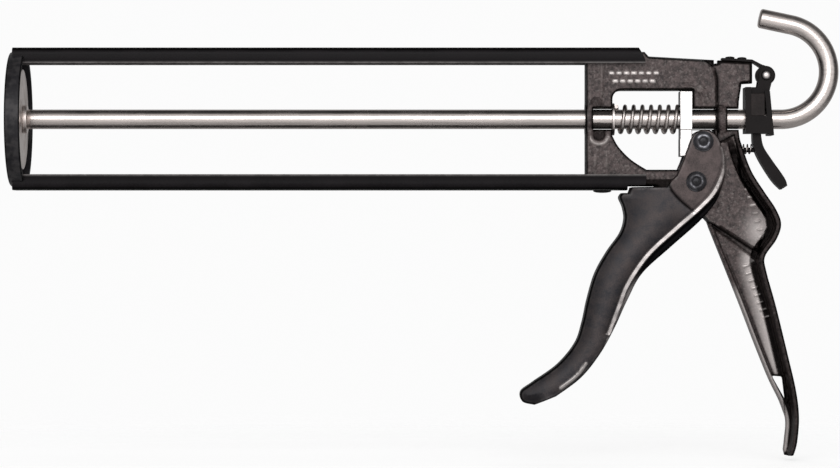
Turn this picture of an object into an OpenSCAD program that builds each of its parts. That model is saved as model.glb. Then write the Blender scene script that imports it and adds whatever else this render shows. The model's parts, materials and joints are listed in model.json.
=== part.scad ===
// Skeleton caulking gun for standard sealant cartridges.
// Frame: the origin is the centre of the nozzle hole on the outer face of the front cap.
// +X runs from the nozzle to the hook, +Z is up and Y is across. The push rod lies on the X axis.

/* [Cradle] */
// Clear length from the front cap's plate to the housing
cradle_len = 262.5; // [240:0.5:330]
// Clear height between the upper and lower rail, which a cartridge passes through
cradle_gap = 50.8; // [48:0.2:60]
// Width of a rail across its flanges
rail_w = 22; // [20.5:0.5:26]
// Depth of a rail from its back to the edge of its flanges
rail_depth = 7.3; // [6:0.1:9]
// Thickness of the rail's steel
rail_wall = 1.8; // [1.4:0.1:2.2]

/* [Front cap] */
// Thickness of the cap's front plate and rim
cap_wall = 1.8; // [1.2:0.1:2.4]
// Depth of the cap over its rim
cap_depth = 7; // [6:0.5:12]
// Diameter of the hole that the nozzle passes through
nozzle_hole_d = 24; // [16:1:30]
// Length of the tab that runs back under each rail
cap_tab_len = 22; // [18:1:40]
// Width of the tab under each rail
cap_tab_w = 14; // [10:1:16]

/* [Rod and piston] */
// Diameter of the push rod
rod_d = 9; // [8:0.5:10]
// Diameter of the rod's stepped end, where the piston sits
rod_neck_d = 6; // [5:0.5:7]
// Radius of the hook along its middle line
hook_r = 22; // [18:1:26]
// Angle that the hook bends through
hook_angle = 168; // [120:1:180]
// Straight length at the end of the hook
hook_tail = 15; // [5:1:20]
// Length of rod between the rear of the housing and the hook
rod_rear_len = 13.5; // [13:0.5:40]
// Diameter of the piston
piston_d = 46.6; // [40:0.2:48]
// Thickness of the piston's plate
piston_wall = 1.5; // [1.2:0.1:2]
// Depth of the piston over its rim
piston_depth = 3.6; // [3:0.2:5]

/* [Housing and grip] */
// Thickness of the casting's body, which the trigger's cheeks pass outside
body_t = 15; // [14:0.5:16]
// Thickness of the casting's thinner middle web
web_t = 8; // [6:0.5:8.5]
// Length of the window that holds the spring and the drive plate
window_len = 36.8; // [34:0.2:42]
// Thickness of the solid front post of the housing
front_post = 12.4; // [11:0.2:16]
// Thickness of the front boss that guides the rod
front_boss = 3.6; // [3:0.2:6]
// Width of the flange down the back of the grip
grip_flange_w = 19; // [16:0.5:21]
// Thickness of the flange down the back of the grip
grip_flange_t = 6; // [4:0.5:7]
// Thickness of the grip's recessed web
grip_web_t = 5; // [4:0.5:7]
// Width of the rim down the front of the grip
grip_rim_w = 11; // [8:0.5:14]
// Length of the grip below the trigger's pivot
grip_len = 126; // [115:1:140]

/* [Trigger] */
// Thickness of each cheek of the trigger
cheek_t = 3; // [2:0.25:4]
// Thickness of the wall along the trigger's front
trigger_wall = 3.2; // [2.5:0.1:5]
// Length of the trigger below its pivot
trigger_len = 102.5; // [92:0.5:112]
// Width of the trigger at its lower tip
trigger_tip_w = 15; // [12:0.5:20]
// Diameter of the pivot pin and the drive pin
pin_d = 5; // [4:0.25:6]
// Diameter of the pins' heads
pin_head_d = 9.4; // [8:0.2:10]
// Diameter of the sleeve that pushes the drive plate
sleeve_d = 9; // [8:0.2:9.4]

/* [Drive plate and spring] */
// Thickness of the drive plate along the rod
plate_t = 5.5; // [4:0.25:6]
// Distance that the drive plate's sides lie inside the faces of the casting's body
plate_inset = 0.5; // [0.3:0.1:1.5]
// Gap between the rod and the return spring's wire
spring_gap = 0.6; // [0.4:0.1:1]
// Diameter of the return spring's wire
spring_wire = 1.8; // [1.2:0.1:2]
// Number of turns of the return spring
spring_turns = 7; // [5:0.5:8]

/* [Release catch] */
// Length of the catch along the rod
catch_len = 11.1; // [10:0.1:13]
// Width of the catch across the rod
catch_w = 17; // [15:0.5:19]
// Diameter of the catch's hinge pin
catch_pin_d = 3; // [2.5:0.25:3.5]
// Outer diameter of the eye round the hinge pin
catch_eye_d = 8.8; // [7:0.1:9]
// Angle that the catch swings through from its grip on the rod to its release
catch_swing = 5; // [3:0.5:5.5]

/* [Hidden] */

// Clearances between pieces that move past or turn in each other
run_fit = 0.1;
side_gap = 0.3;
// Smallest gap between pieces on different joints
free_gap = 0.4;
// How far round pieces that touch are let into each other's faces
seat = 0.02;

// Heights of the frame
rail_in = cradle_gap / 2 + rail_depth - rail_wall;
rail_out = cradle_gap / 2 + rail_depth;
rail_x = 1.6;
house_x = cap_wall + cradle_len;
window_x = house_x + front_post;
window_end = window_x + window_len;
top_rail_end = house_x + 27.3;
bottom_rail_end = house_x + 27.7;
rail_corner_r = 3;
rivet_d = 4;
rivet_head_d = 8.4;
rivet_head_t = 1.2;
rivet_sink = 1.2;

// Window heights above and below the rod
window_top = 13.2;
window_floor = rail_in - 7.6;

// Trigger geometry: the pivot hangs from the lower rail's line, the drive pin lies under the rod
pivot_x = window_end + 1.4;
pivot_z = 2.1 - rail_in;
drive_x = pivot_x + 3.2;
drive_z = -rod_d / 2 - 5.9;
cheek_in = body_t / 2 + side_gap;
cheek_out = cheek_in + cheek_t;

// Rear end of the housing
block_front = window_end + 11.6;
house_end = window_end + 27.6;
block_top = rail_in - 4.7;
neck_x = house_end - 6.4;

spring_d = rod_d + 2 * spring_gap + 2 * spring_wire;
plate_w = body_t - 2 * plate_inset;

// Drive plate at rest, just ahead of the sleeve
plate_rear = drive_x - sleeve_d / 2 - side_gap;
plate_front = plate_rear - plate_t;
plate_top = window_top - free_gap;
plate_foot = drive_z - 6.8;
washer_t = 1.2;

// Release catch
catch_pin_x = house_end + 6.2;
catch_pin_z = block_top - 6.1;
catch_front = house_end - 3.4;
catch_leaf = 2.4;
catch_bore_d = rod_d + 1.6;
catch_spring_z = -14.1;
catch_spring_d = 4.6;
catch_spring_wire = 0.7;
catch_spring_turns = 5;
catch_guide_d = 2.2;
pocket_d = 6.2;
pocket_end = neck_x - 3;
lever_face = catch_front + 3.6;
hook_x = house_end + rod_rear_len;

// Colours
rail_colour = [0.14, 0.13, 0.14];
cap_colour = [0.24, 0.25, 0.27];
cast_colour = [0.37, 0.34, 0.33];
trigger_colour = [0.27, 0.27, 0.28];
zinc_colour = [0.80, 0.78, 0.76];
black_colour = [0.08, 0.08, 0.08];

// ---- Shared shapes ----

// One stretch of a Catmull-Rom curve between b and c, at t from 0 to 1
function curve_point(a, b, c, d, t) =
    0.5 * (2 * b + (c - a) * t + (2 * a - 5 * b + 4 * c - d) * t * t
    + (3 * b - a - 3 * c + d) * t * t * t);

// A smooth open curve through the points p, with n steps between neighbours
function curve(p, n = 4) = concat(
    [for (i = [0 : len(p) - 2]) for (k = [0 : n - 1])
        curve_point(p[max(i - 1, 0)], p[i], p[i + 1], p[min(i + 2, len(p) - 1)], k / n)],
    [p[len(p) - 1]]);

// Points of an arc of radius r about c, from angle a to angle b
function arc(c, r, a, b, n = 8) =
    [for (i = [0 : n]) c + r * [cos(a + (b - a) * i / n), sin(a + (b - a) * i / n)]];

// The points p moved by d
function shifted(p, d) = [for (q = p) q + d];

// The points p in the opposite order
function backward(p) = [for (i = [len(p) - 1 : -1 : 0]) p[i]];

// A plate whose outline lies in the XZ plane, centred on Y = 0
module plate(outline, t) {
    rotate([90, 0, 0]) linear_extrude(t, center = true) polygon(outline);
}

// A round bar or bore across Y, centred on Y = 0
module across(x, z, d, w, n = 48) {
    translate([x, 0, z]) rotate([90, 0, 0]) cylinder(d = d, h = w, center = true, $fn = n);
}

// A round bar or bore along X, from x0 to x1
module along(x0, x1, d, z = 0, n = 48) {
    translate([x0, 0, z]) rotate([0, 90, 0]) cylinder(d = d, h = x1 - x0, $fn = n);
}

// A low domed rivet head of diameter d and height h, standing on Z = 0
module dome(d, h) {
    rotate_extrude($fn = 48)
        polygon(concat([[0, 0], [d / 2, 0]],
            [for (i = [1 : 6]) [d / 2 * cos(i * 15), h * (0.35 + 0.65 * sin(i * 15))]]));
}

// A wire coil of pitch length len along X from x0, with flat seats at both ends
module coil(x0, length, d, wire, turns, sides = 8, steps = 20) {
    n = round(turns * steps);
    r = (d - wire) / 2;
    function lift(u) = wire / 2 + (length - wire) * u;
    rings = [for (i = [0 : n]) for (k = [0 : sides - 1])
        let (a = 360 * i / steps, b = 360 * k / sides, q = r + wire / 2 * cos(b))
        [x0 + lift(i / n) + wire / 2 * sin(b), q * sin(a), q * cos(a)]];
    walls = [for (i = [0 : n - 1]) for (k = [0 : sides - 1])
        let (a = i * sides, b = a + sides, m = (k + 1) % sides) [a + k, a + m, b + m, b + k]];
    polyhedron(rings, concat(walls, [[for (k = [sides - 1 : -1 : 0]) k]],
        [[for (k = [0 : sides - 1]) n * sides + k]]), convexity = 12);
}

// ---- Cradle ----

// Section of a rail in the YZ plane: a rounded channel that opens towards the rod
module rail_section() {
    difference() {
        hull() for (s = [-1, 1]) {
            translate([s * (rail_w / 2 - rail_corner_r), rail_out - rail_corner_r])
                circle(rail_corner_r, $fn = 32);
            translate([s * (rail_w / 2 - 0.5), rail_out - rail_depth + 0.5])
                square(1, center = true);
        }
        hull() for (s = [-1, 1]) {
            translate([s * (rail_w / 2 - rail_corner_r), rail_out - rail_corner_r])
                circle(rail_corner_r - rail_wall, $fn = 24);
            translate([s * (rail_w / 2 - rail_wall - 0.5), rail_out - rail_depth - 0.5])
                square(1, center = true);
        }
    }
}

// A cone at x that widens by 45 degrees towards the rail's back, where a flush rivet's head sits
module countersink(x, h) {
    translate([x, 0, rail_out - rivet_sink]) cylinder(d1 = rivet_d, d2 = rivet_d + 2 * h, h = h, $fn = 32);
}

// A rail with its ends cut back on a slope, and holes for its rivets, some of them countersunk
module rail(x_end, slope, flush_holes, holes) {
    difference() {
        translate([rail_x, 0, 0]) rotate([90, 0, 90]) linear_extrude(x_end - rail_x) rail_section();
        plate([[rail_x - 1, rail_out - rail_depth - 1], [rail_x + 3, rail_out - rail_depth - 1],
            [rail_x - 1, rail_out - 1]], rail_w + 2);
        plate([[x_end - slope, rail_out + 0.1], [x_end + 1, rail_out + 0.1],
            [x_end + 1, rail_in - rail_wall]], rail_w + 2);
        for (x = concat(flush_holes, holes))
            translate([x, 0, rail_in - 1]) cylinder(d = rivet_d, h = rail_depth, $fn = 32);
        for (x = flush_holes) countersink(x, rivet_sink + 1);
    }
}

cap_rivet_x = cap_depth + 8;
top_rivets = [house_x + 8, house_x + 20];
bottom_rivets = [house_x + 8];

module top_rail() {
    color(rail_colour) rail(top_rail_end, 3, concat([cap_rivet_x], top_rivets), []);
}

// The lower rail's back stops ahead of the trigger, and only its flanges run on to the end
module bottom_rail() {
    back_end = pivot_x - 31.4;
    flange_foot = rail_in - 0.5;
    color(rail_colour) mirror([0, 0, 1]) difference() {
        rail(bottom_rail_end, 1, [cap_rivet_x], bottom_rivets);
        plate([[back_end, flange_foot], [bottom_rail_end + 1, flange_foot],
            [bottom_rail_end + 1, rail_out + 1], [back_end, rail_out + 1]], rail_w + 2);
    }
}

module front_cap() {
    color(cap_colour) difference() {
        union() {
            difference() {
                along(0, cap_depth, 2 * rail_in, n = 96);
                along(cap_wall, cap_depth + 1, 2 * (rail_in - cap_wall), n = 96);
            }
            for (s = [-1, 1]) translate([cap_depth - cap_wall, -cap_tab_w / 2,
                    s > 0 ? rail_in - cap_wall : -rail_in])
                cube([cap_tab_len, cap_tab_w, cap_wall]);
        }
        along(-1, cap_wall + 1, nozzle_hole_d);
        for (s = [-1, 1]) translate([cap_rivet_x, 0, s * rail_in])
            cylinder(d = rivet_d, h = rail_depth, center = true, $fn = 32);
        for (s = [-1, 1]) for (t = [-1, 1])
            translate([rail_x - 0.2, t * (rail_w / 2 - rail_wall / 2), s * (rail_out - rail_depth / 2)])
                translate([0, -rail_wall / 2 - side_gap, -rail_depth / 2 - side_gap])
                    cube([cap_depth + 1, rail_wall + 2 * side_gap, rail_depth + 2 * side_gap]);
    }
}

// A rivet's shank along Z, from the rail's back inwards to grip_to
module rivet_shank(x, grip_to) {
    translate([x, 0, grip_to]) cylinder(d = rivet_d, h = rail_out - grip_to, $fn = 32);
}

rivet_tail_t = 0.8;

module cap_rivets() {
    color(rail_colour) for (s = [0, 1]) mirror([0, 0, s]) {
        rivet_shank(cap_rivet_x, rail_in - cap_wall);
        countersink(cap_rivet_x, rivet_sink);
        translate([cap_rivet_x, 0, rail_in - cap_wall - rivet_tail_t])
            cylinder(d = rivet_d + 2, h = rivet_tail_t, $fn = 32);
    }
}

rivet_bite = 5;

module rail_rivets() {
    color(rail_colour) {
        for (x = top_rivets) {
            rivet_shank(x, rail_in - rivet_bite);
            countersink(x, rivet_sink);
        }
        mirror([0, 0, 1]) for (x = bottom_rivets) {
            rivet_shank(x, rail_in - rivet_bite);
            translate([x, 0, rail_out]) dome(rivet_head_d, rivet_head_t);
        }
    }
}

// ---- Rod and piston ----

piston_x = cap_wall + side_gap;
piston_back = piston_x + piston_depth;
rod_step = piston_back + 2;
nut_t = piston_depth - piston_wall - run_fit;
nut_x = piston_back - piston_wall - run_fit - nut_t;

// The straight end of the hook is a hair thinner than the bend
tail_d = rod_d - 0.06;

module push_rod() {
    color(zinc_colour) {
        along(nut_x + 0.2, rod_step, rod_neck_d);
        along(rod_step, hook_x, rod_d);
        translate([hook_x, 0, hook_r]) rotate([90, 90, 0])
            rotate_extrude(angle = hook_angle, $fn = 96) translate([hook_r, 0]) circle(d = rod_d, $fn = 40);
        translate([hook_x, 0, hook_r]) rotate([0, -hook_angle, 0]) translate([0, 0, -hook_r]) {
            along(-0.2, hook_tail - 1, tail_d);
            translate([hook_tail - 1, 0, 0]) rotate([0, 90, 0])
                cylinder(d1 = tail_d, d2 = tail_d - 2, h = 1, $fn = 48);
        }
    }
}

module piston_plate() {
    color(zinc_colour) difference() {
        along(piston_x, piston_back, piston_d, n = 96);
        along(piston_x - 1, piston_back - piston_wall, piston_d - 2 * piston_wall, n = 96);
        along(piston_x, piston_back + 1, rod_neck_d + 2 * run_fit);
    }
}

module piston_washer() {
    color(zinc_colour) difference() {
        along(piston_back + run_fit, rod_step, 13);
        along(piston_back, rod_step + 1, rod_neck_d);
    }
}

module piston_nut() {
    color(zinc_colour) difference() {
        intersection() {
            translate([nut_x, 0, 0]) rotate([0, 90, 0]) cylinder(d = 11.5, h = nut_t, $fn = 6);
            translate([nut_x, 0, 0]) rotate([0, 90, 0])
                cylinder(d1 = 10, d2 = 10 + 2 * nut_t, h = nut_t, $fn = 48);
        }
        along(nut_x - 1, nut_x + nut_t + 1, rod_neck_d);
    }
}

// ---- Housing and grip, one casting ----

// Back edge of the grip, from the neck down to the tip, as offsets from the pivot
grip_scale = grip_len / 126;
grip_top = [neck_x, -3.1];
function grip_at(x, z) = [pivot_x + x, pivot_z + z * (z < -20 ? grip_scale : 1)];
grip_back = curve([
    grip_top, grip_top + [1.3, -9], grip_at(25.3, 5), grip_at(31.2, -4.5), grip_at(36.6, -12.6),
    grip_at(39, -19.5), grip_at(36.8, -26.6), grip_at(31.6, -34.4), grip_at(32.3, -41.5),
    grip_at(36.6, -57.1), grip_at(42, -79.2), grip_at(45.8, -95.7), grip_at(47.2, -108),
    grip_at(46.4, -119), grip_at(45.2, -124)]);
grip_front = curve([
    grip_at(5.4, -18.4), grip_at(14.3, -40.5), grip_at(20.9, -57.1), grip_at(27.2, -73.6),
    grip_at(33.9, -90.2), grip_at(39.2, -101.2), grip_at(41.7, -109.5), grip_at(41.2, -118),
    grip_at(40.6, -123)]);
grip_tip = [grip_at(41.2, -125.6), grip_at(43, -126), grip_at(44.6, -125.5)];

// Outline of the housing above the grip, clockwise from its lower front corner
house_front = [[house_x, -rail_in], [house_x, rail_in], [top_rail_end, rail_in],
    [top_rail_end + 1.9, rail_in - 2.1], [house_end, block_top],
    [house_end, catch_pin_z - 3.6], [house_end - 4.9, catch_pin_z - 3.9],
    [house_end - 6.2, catch_pin_z - 12]];
under_cheeks = [grip_at(-2, -10.5), grip_at(-11, -6.2), [pivot_x - 18.9, -rail_in]];
cast_outline = concat(house_front, grip_back, backward(grip_tip), backward(grip_front), under_cheeks);

// Thicker body of the housing, with a rounded upper rear corner
body_outline = concat(
    [[house_x, -rail_in], [house_x, rail_in], [top_rail_end, rail_in],
        [top_rail_end + 1.9, rail_in - 2.1]],
    arc([block_front - 10, rail_in - 13.4], 10, 90, 0),
    [[block_front, -11], grip_top + [-2, -4], grip_at(22, 2), grip_at(33, -14),
        grip_at(34, -21), grip_at(29, -33), grip_at(6, -18.4)],
    under_cheeks);

// Room round the drive sleeve
sleeve_room = sleeve_d / 2 + 0.6;
// The window: straight top and front, and a floor that sweeps up to the front
window_outline = concat(
    arc([window_x + 4, window_top - 4], 4, 180, 90, 4),
    [[window_end, window_top], [window_end, -rod_d / 2 - free_gap]],
    [[drive_x + sleeve_room, -rod_d / 2 - free_gap]],
    arc([drive_x, drive_z], sleeve_room, 0, -80),
    [[pivot_x - 8, -window_floor]],
    curve([[window_x + 15.6, -window_floor], [window_x + 8.6, -window_floor + 4.5],
        [window_x + 2.9, -window_floor + 10.3], [window_x, -spring_d / 2 - 1]], 4));

// Flange down the back of the grip
flange_outline = concat(grip_back, backward(shifted(grip_back, [-grip_flange_t, 0])));
// Rim down the front of the grip
rim_outline = concat(grip_front, backward(shifted(grip_front, [1.7, 0])));
// Recess on each side of the grip, between the rim and the flange
recess_outline = concat(
    [grip_at(8, -20.5), grip_at(31, -37)],
    [for (p = grip_back) if (p[1] < pivot_z - 38 && p[1] > pivot_z - 102 * grip_scale)
        p + [-grip_flange_t, 0]],
    backward([for (p = grip_front) if (p[1] < pivot_z - 20 && p[1] > pivot_z - 100 * grip_scale)
        p + [1.7, 0]]));
// Small three-cornered hole near the foot of the grip, for hanging the gun up
hang_hole = [grip_at(35.3, -89.2), grip_at(40.1, -89.6), grip_at(41.4, -100)];

slot_h = rod_d + 0.7;

module housing() {
    color(cast_colour) difference() {
        union() {
            plate(cast_outline, web_t);
            plate(body_outline, body_t);
            plate(flange_outline, grip_flange_w);
            plate(rim_outline, grip_rim_w);
            // Round bosses that carry the rod
            along(house_x, house_x + front_boss, body_t + 2);
            along(block_front - 1, block_front + 4.6, body_t);
        }
        plate(window_outline, grip_flange_w + 2);
        // Recessed faces of the grip
        for (s = [-1, 1]) translate([0, s * (grip_web_t / 2 + 10), 0]) plate(recess_outline, 20);
        plate(hang_hole, grip_flange_w);
        // Side slots where the rod shows between its bosses
        translate([house_x + front_boss, -body_t, -slot_h / 2]) cube([front_post, 2 * body_t, slot_h]);
        translate([window_end - 1, -body_t, -slot_h / 2])
            cube([block_front - window_end, 2 * body_t, slot_h]);
        translate([block_front + 4.6, -body_t, -slot_h / 2]) cube([20, 2 * body_t, slot_h]);
        // Bores
        along(house_x - 1, house_end + 1, rod_d + 2 * run_fit);
        across(pivot_x, pivot_z, pin_d + 2 * run_fit, body_t + 4);
        for (x = top_rivets) translate([x, 0, rail_in - rivet_bite])
            cylinder(d = rivet_d, h = rail_depth, $fn = 32);
        for (x = bottom_rivets) translate([x, 0, -rail_in - 1])
            cylinder(d = rivet_d, h = rivet_bite + 1, $fn = 32);
        for (x = hanger_rivet_x) translate([x, 0, block_top_at(x) - hanger_bite])
            cylinder(d = 2.4, h = 10, $fn = 24);
        along(pocket_end, house_end, pocket_d, z = catch_spring_z + 0.4);
    }
}

// ---- Drive plate and return spring ----

module drive_plate() {
    color(zinc_colour) difference() {
        translate([plate_front, -plate_w / 2, plate_foot]) cube([plate_t, plate_w, plate_top - plate_foot]);
        along(plate_front - 1, plate_rear + 1, rod_d + 2 * run_fit);
        for (s = [-1, 1]) translate([plate_front - 1, s * plate_w / 2 - 1, -rod_d / 2 - 4.4])
            cube([plate_t + 2, 2, 4]);
    }
}

module spring_washer() {
    color(zinc_colour) difference() {
        along(window_x, window_x + washer_t, spring_d + 1);
        along(window_x - 1, window_x + washer_t + 1, rod_d + 2 * side_gap);
    }
}

module main_spring() {
    color(zinc_colour) coil(window_x + washer_t, plate_front - window_x - washer_t,
        spring_d, spring_wire, spring_turns);
}

// ---- Trigger ----

trigger_scale = trigger_len / 102.5;
function trig_at(x, z) = [pivot_x, pivot_z] + (z < -20 ? [x, z] * trigger_scale : [x, z]);
trigger_front = curve([
    trig_at(-33.9, -5.2), trig_at(-35, -7.4), trig_at(-33.3, -11.7), trig_at(-32.6, -17.2),
    trig_at(-34.6, -23.7), trig_at(-40.6, -32.2), trig_at(-46.1, -42.2), trig_at(-49.7, -54.2),
    trig_at(-52, -64.7), trig_at(-55.3, -74.2), trig_at(-63.4, -84), trig_at(-74.9, -92.2),
    trig_at(-80.3, -96.4), trig_at(-79.4, -101), trig_at(-73.9, -102.5)]);
trigger_back = curve([
    trig_at(-64, -98.5), trig_at(-52.4, -89.7), trig_at(-43.4, -78.2), trig_at(-36.9, -66.2),
    trig_at(-31.4, -54.2), trig_at(-24.6, -42), trig_at(-11.4, -29.8), trig_at(1.4, -18.4),
    trig_at(9.4, -8.7), trig_at(13.1, 1.8), [drive_x + 9.5, drive_z - 6.6],
    [drive_x + 7.4, drive_z + 0.8], [drive_x + 3.9, drive_z + 4.6], [drive_x - 0.4, drive_z + 5.4],
    [drive_x - 4.7, drive_z + 2.8], [drive_x - 7.2, drive_z - 3.2], [drive_x - 9.6, drive_z - 9.6]]);
cheek_foot = [trig_at(-8.9, 3), trig_at(-11.6, 0.4), trig_at(-13.4, -2.3), trig_at(-29.6, -2.5),
    trig_at(-30.6, -5.2)];
trigger_outline = concat(trigger_front, trigger_back, cheek_foot);

// Hollow between the cheeks, open at the back and the top
trigger_hollow = concat(
    [trig_at(-40, 4), trig_at(-33.9 + trigger_wall, -5)],
    curve([trig_at(-33.3 + trigger_wall, -11.7), trig_at(-32.6 + trigger_wall, -17.2),
        trig_at(-34.6 + trigger_wall, -24.7), trig_at(-40.6 + trigger_wall, -33.4),
        trig_at(-46.1 + trigger_wall, -43), trig_at(-49.7 + trigger_wall, -54.6),
        trig_at(-52 + trigger_wall, -64.7)]),
    [trig_at(-46, -74), trig_at(-38, -78), trig_at(30, -70), trig_at(30, 40), trig_at(-40, 40)]);

// A bar that narrows towards the trigger's tip: half_w wide at the pivot, half_tip at the tip
module taper(half_w, half_tip) {
    z0 = pivot_z - 40;
    z1 = pivot_z - trigger_len - 1;
    translate([pivot_x - 100, 0, 0]) rotate([90, 0, 90]) linear_extrude(150)
        polygon([[-half_w, 20], [-half_w, z0], [-half_tip, z1],
            [half_tip, z1], [half_w, z0], [half_w, 20]]);
}

module trigger() {
    color(trigger_colour) difference() {
        intersection() {
            plate(trigger_outline, 2 * cheek_out);
            taper(cheek_out, trigger_tip_w / 2);
        }
        intersection() {
            plate(trigger_hollow, 2 * cheek_in);
            taper(cheek_in, trigger_tip_w / 2 - cheek_t);
        }
        across(pivot_x, pivot_z, pin_d + 2 * run_fit, 40);
        across(drive_x, drive_z, pin_d, 40);
    }
}

pin_head_t = 1.5;
pin_washer_t = 1;

// A pin across the cheeks at x, z, with its head on the -Y side and its tail
// riveted over a washer on the +Y side
module headed_pin(x, z) {
    across(x, z, pin_d, 2 * (cheek_out + pin_washer_t + seat));
    for (s = [-1, 1]) translate([x, s * (s < 0 ? cheek_out : cheek_out + pin_washer_t), z])
        rotate([s < 0 ? 90 : -90, 0, 0]) dome(pin_head_d, pin_head_t);
}

module pin_washer(x, z) {
    translate([x, cheek_out + pin_washer_t / 2, z]) rotate([90, 0, 0]) difference() {
        cylinder(d = pin_head_d + 1, h = pin_washer_t, center = true, $fn = 48);
        cylinder(d = pin_d, h = pin_washer_t + 1, center = true, $fn = 48);
    }
}

module trigger_pivot_pin() { color(trigger_colour) headed_pin(pivot_x, pivot_z); }
module pivot_pin_washer() { color(zinc_colour) pin_washer(pivot_x, pivot_z); }
module drive_pin() { color(trigger_colour) headed_pin(drive_x, drive_z); }
module drive_pin_washer() { color(zinc_colour) pin_washer(drive_x, drive_z); }

module drive_sleeve() {
    color(zinc_colour) difference() {
        across(drive_x, drive_z, sleeve_d, 2 * (cheek_in - seat));
        across(drive_x, drive_z, pin_d, 40);
    }
}

// ---- Release catch ----

hanger_t = 1.2;
hanger_w = 8;
hanger_len = 14;
hanger_bite = 4;
hanger_head_d = 4.4;
hanger_rivet_x = [house_end - 10, house_end - 4.5];
block_slope = (rail_in - 2.1 - block_top) / (house_end - top_rail_end - 1.9);
function block_top_at(x) = block_top + (house_end - x) * block_slope;

// Strap on top of the housing that curls round the catch's pin
module catch_hanger() {
    color(black_colour) difference() {
        union() {
            plate([[house_end - hanger_len, block_top_at(house_end - hanger_len)],
                [house_end - hanger_len, block_top_at(house_end - hanger_len) + hanger_t],
                [house_end, block_top + hanger_t],
                [catch_pin_x - 2, catch_pin_z + catch_eye_d / 2 + 0.7],
                [catch_pin_x + 0.6, catch_pin_z + catch_eye_d / 2 - 0.2],
                [catch_pin_x - 1.2, catch_pin_z + catch_eye_d / 2 - hanger_t - 0.4],
                [house_end, block_top]], hanger_w);
            across(catch_pin_x, catch_pin_z, catch_eye_d, hanger_w);
        }
        across(catch_pin_x, catch_pin_z, catch_pin_d, hanger_w + 2);
        for (x = hanger_rivet_x) translate([x, 0, block_top_at(x) - 1])
            cylinder(d = 2.4, h = 10, $fn = 24);
    }
}

module hanger_rivets() {
    color(black_colour) for (x = hanger_rivet_x) {
        translate([x, 0, block_top_at(x) - hanger_bite])
            cylinder(d = 2.4, h = hanger_bite + hanger_t + 0.3, $fn = 24);
        translate([x, 0, block_top_at(x) + hanger_t + hanger_head_d / 2 * block_slope + seat / 4])
            dome(hanger_head_d, 0.9);
    }
}

arm_t = 2;
arm_in = hanger_w / 2 + side_gap;
arm_eye_d = 6.6;
catch_pin_head_d = 4.6;

module catch_pin() {
    color(zinc_colour) {
        across(catch_pin_x, catch_pin_z, catch_pin_d, 2 * (arm_in + arm_t + 0.2));
        for (s = [-1, 1]) translate([catch_pin_x, s * (arm_in + arm_t + 0.2), catch_pin_z])
            rotate([-90 * s, 0, 0]) dome(catch_pin_head_d, 1.1);
    }
}

// Puts a piece a degrees back from its place, swung about the catch's pin
module swung(a) {
    translate([catch_pin_x, 0, catch_pin_z]) rotate([0, -a, 0])
        translate([-catch_pin_x, 0, -catch_pin_z]) children();
}

// Heights of the catch, measured from its pin
leaf_top = catch_pin_z - 5.5;
leaf_foot = -rod_d / 2 - 2.1;
rear_foot = -rod_d / 2 - 3;
block_top_z = catch_pin_z - 8.5;
block_foot_z = 1.4;
catch_back = catch_front + catch_len;
rear_lean = 1.9;
peg_end = catch_front + 6;
lever_w = 10;
lever_front = curve([[catch_front + 3.6, -5], [catch_front + 3.9, -12], [catch_front + 6.6, -18.8],
    [catch_front + 12.4, -28], [catch_front + 16.6, -32.4]]);
lever_back = curve([[catch_front + 19.4, -30.6], [catch_front + 18, -26.8],
    [catch_front + 11.8, -18], [catch_front + 8.2, -12], [catch_front + 7.2, -5]]);

// The bore of the catch, centred on the rod at half of the swing
module catch_bore() {
    swung(catch_swing / 2) along(catch_front - 5, catch_back + 8, catch_bore_d);
}

// Front and rear leaf round the rod, joined below it, with two arms up to the pin
// and a thumb lever below
module release_catch() {
    color(black_colour) difference() {
        union() {
            translate([catch_front, -catch_w / 2, leaf_foot])
                cube([catch_leaf, catch_w, leaf_top - leaf_foot]);
            plate([[catch_back - catch_leaf, block_top_z + 1.2], [catch_back, block_top_z + 1.2],
                [catch_back + rear_lean, rear_foot], [catch_back + rear_lean - catch_leaf, rear_foot]],
                catch_w);
            translate([catch_front, -catch_w / 2, leaf_foot])
                cube([catch_len, catch_w, block_foot_z - leaf_foot]);
            plate(concat(lever_front, lever_back), lever_w);
            for (s = [-1, 1]) translate([0, s * (arm_in + arm_t / 2), 0]) {
                plate([[catch_front, leaf_top], [catch_pin_x - 3.8, leaf_top],
                    [catch_pin_x - arm_eye_d / 2 + 0.2, catch_pin_z - 0.8],
                    [catch_pin_x + arm_eye_d / 2 - 0.2, catch_pin_z - 0.8], [catch_back, block_top_z + 1.2],
                    [catch_back, block_top_z], [catch_front, block_top_z]], arm_t);
                across(catch_pin_x, catch_pin_z, arm_eye_d, arm_t);
            }
        }
        catch_bore();
        across(catch_pin_x, catch_pin_z, catch_pin_d + 2 * run_fit, catch_w);
        across(catch_pin_x, catch_pin_z, catch_eye_d + 2 * side_gap, 2 * arm_in);
        along(catch_front - 1, peg_end, catch_guide_d, z = catch_spring_z, n = 32);
    }
}

// Block between the leaves, round the upper side of the rod
module catch_spacer() {
    color(trigger_colour) difference() {
        translate([catch_front + catch_leaf, -catch_w / 2, block_foot_z])
            cube([catch_len - 2 * catch_leaf, catch_w, block_top_z - block_foot_z]);
        catch_bore();
    }
}

// Peg on the lever that the catch's spring sits round
module catch_spring_pin() {
    color(black_colour) along(catch_front - 0.6, peg_end, catch_guide_d, z = catch_spring_z, n = 32);
}

module catch_spring() {
    color(zinc_colour) translate([0, 0, catch_spring_z]) coil(pocket_end, lever_face - pocket_end,
        catch_spring_d, catch_spring_wire, catch_spring_turns, 6, 16);
}

front_cap();
top_rail();
bottom_rail();
cap_rivets();
rail_rivets();
housing();
push_rod();
piston_plate();
piston_washer();
piston_nut();
drive_plate();
spring_washer();
main_spring();
trigger();
trigger_pivot_pin();
pivot_pin_washer();
drive_pin();
drive_pin_washer();
drive_sleeve();
catch_hanger();
hanger_rivets();
catch_pin();
release_catch();
catch_spacer();
catch_spring_pin();
catch_spring();
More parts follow.
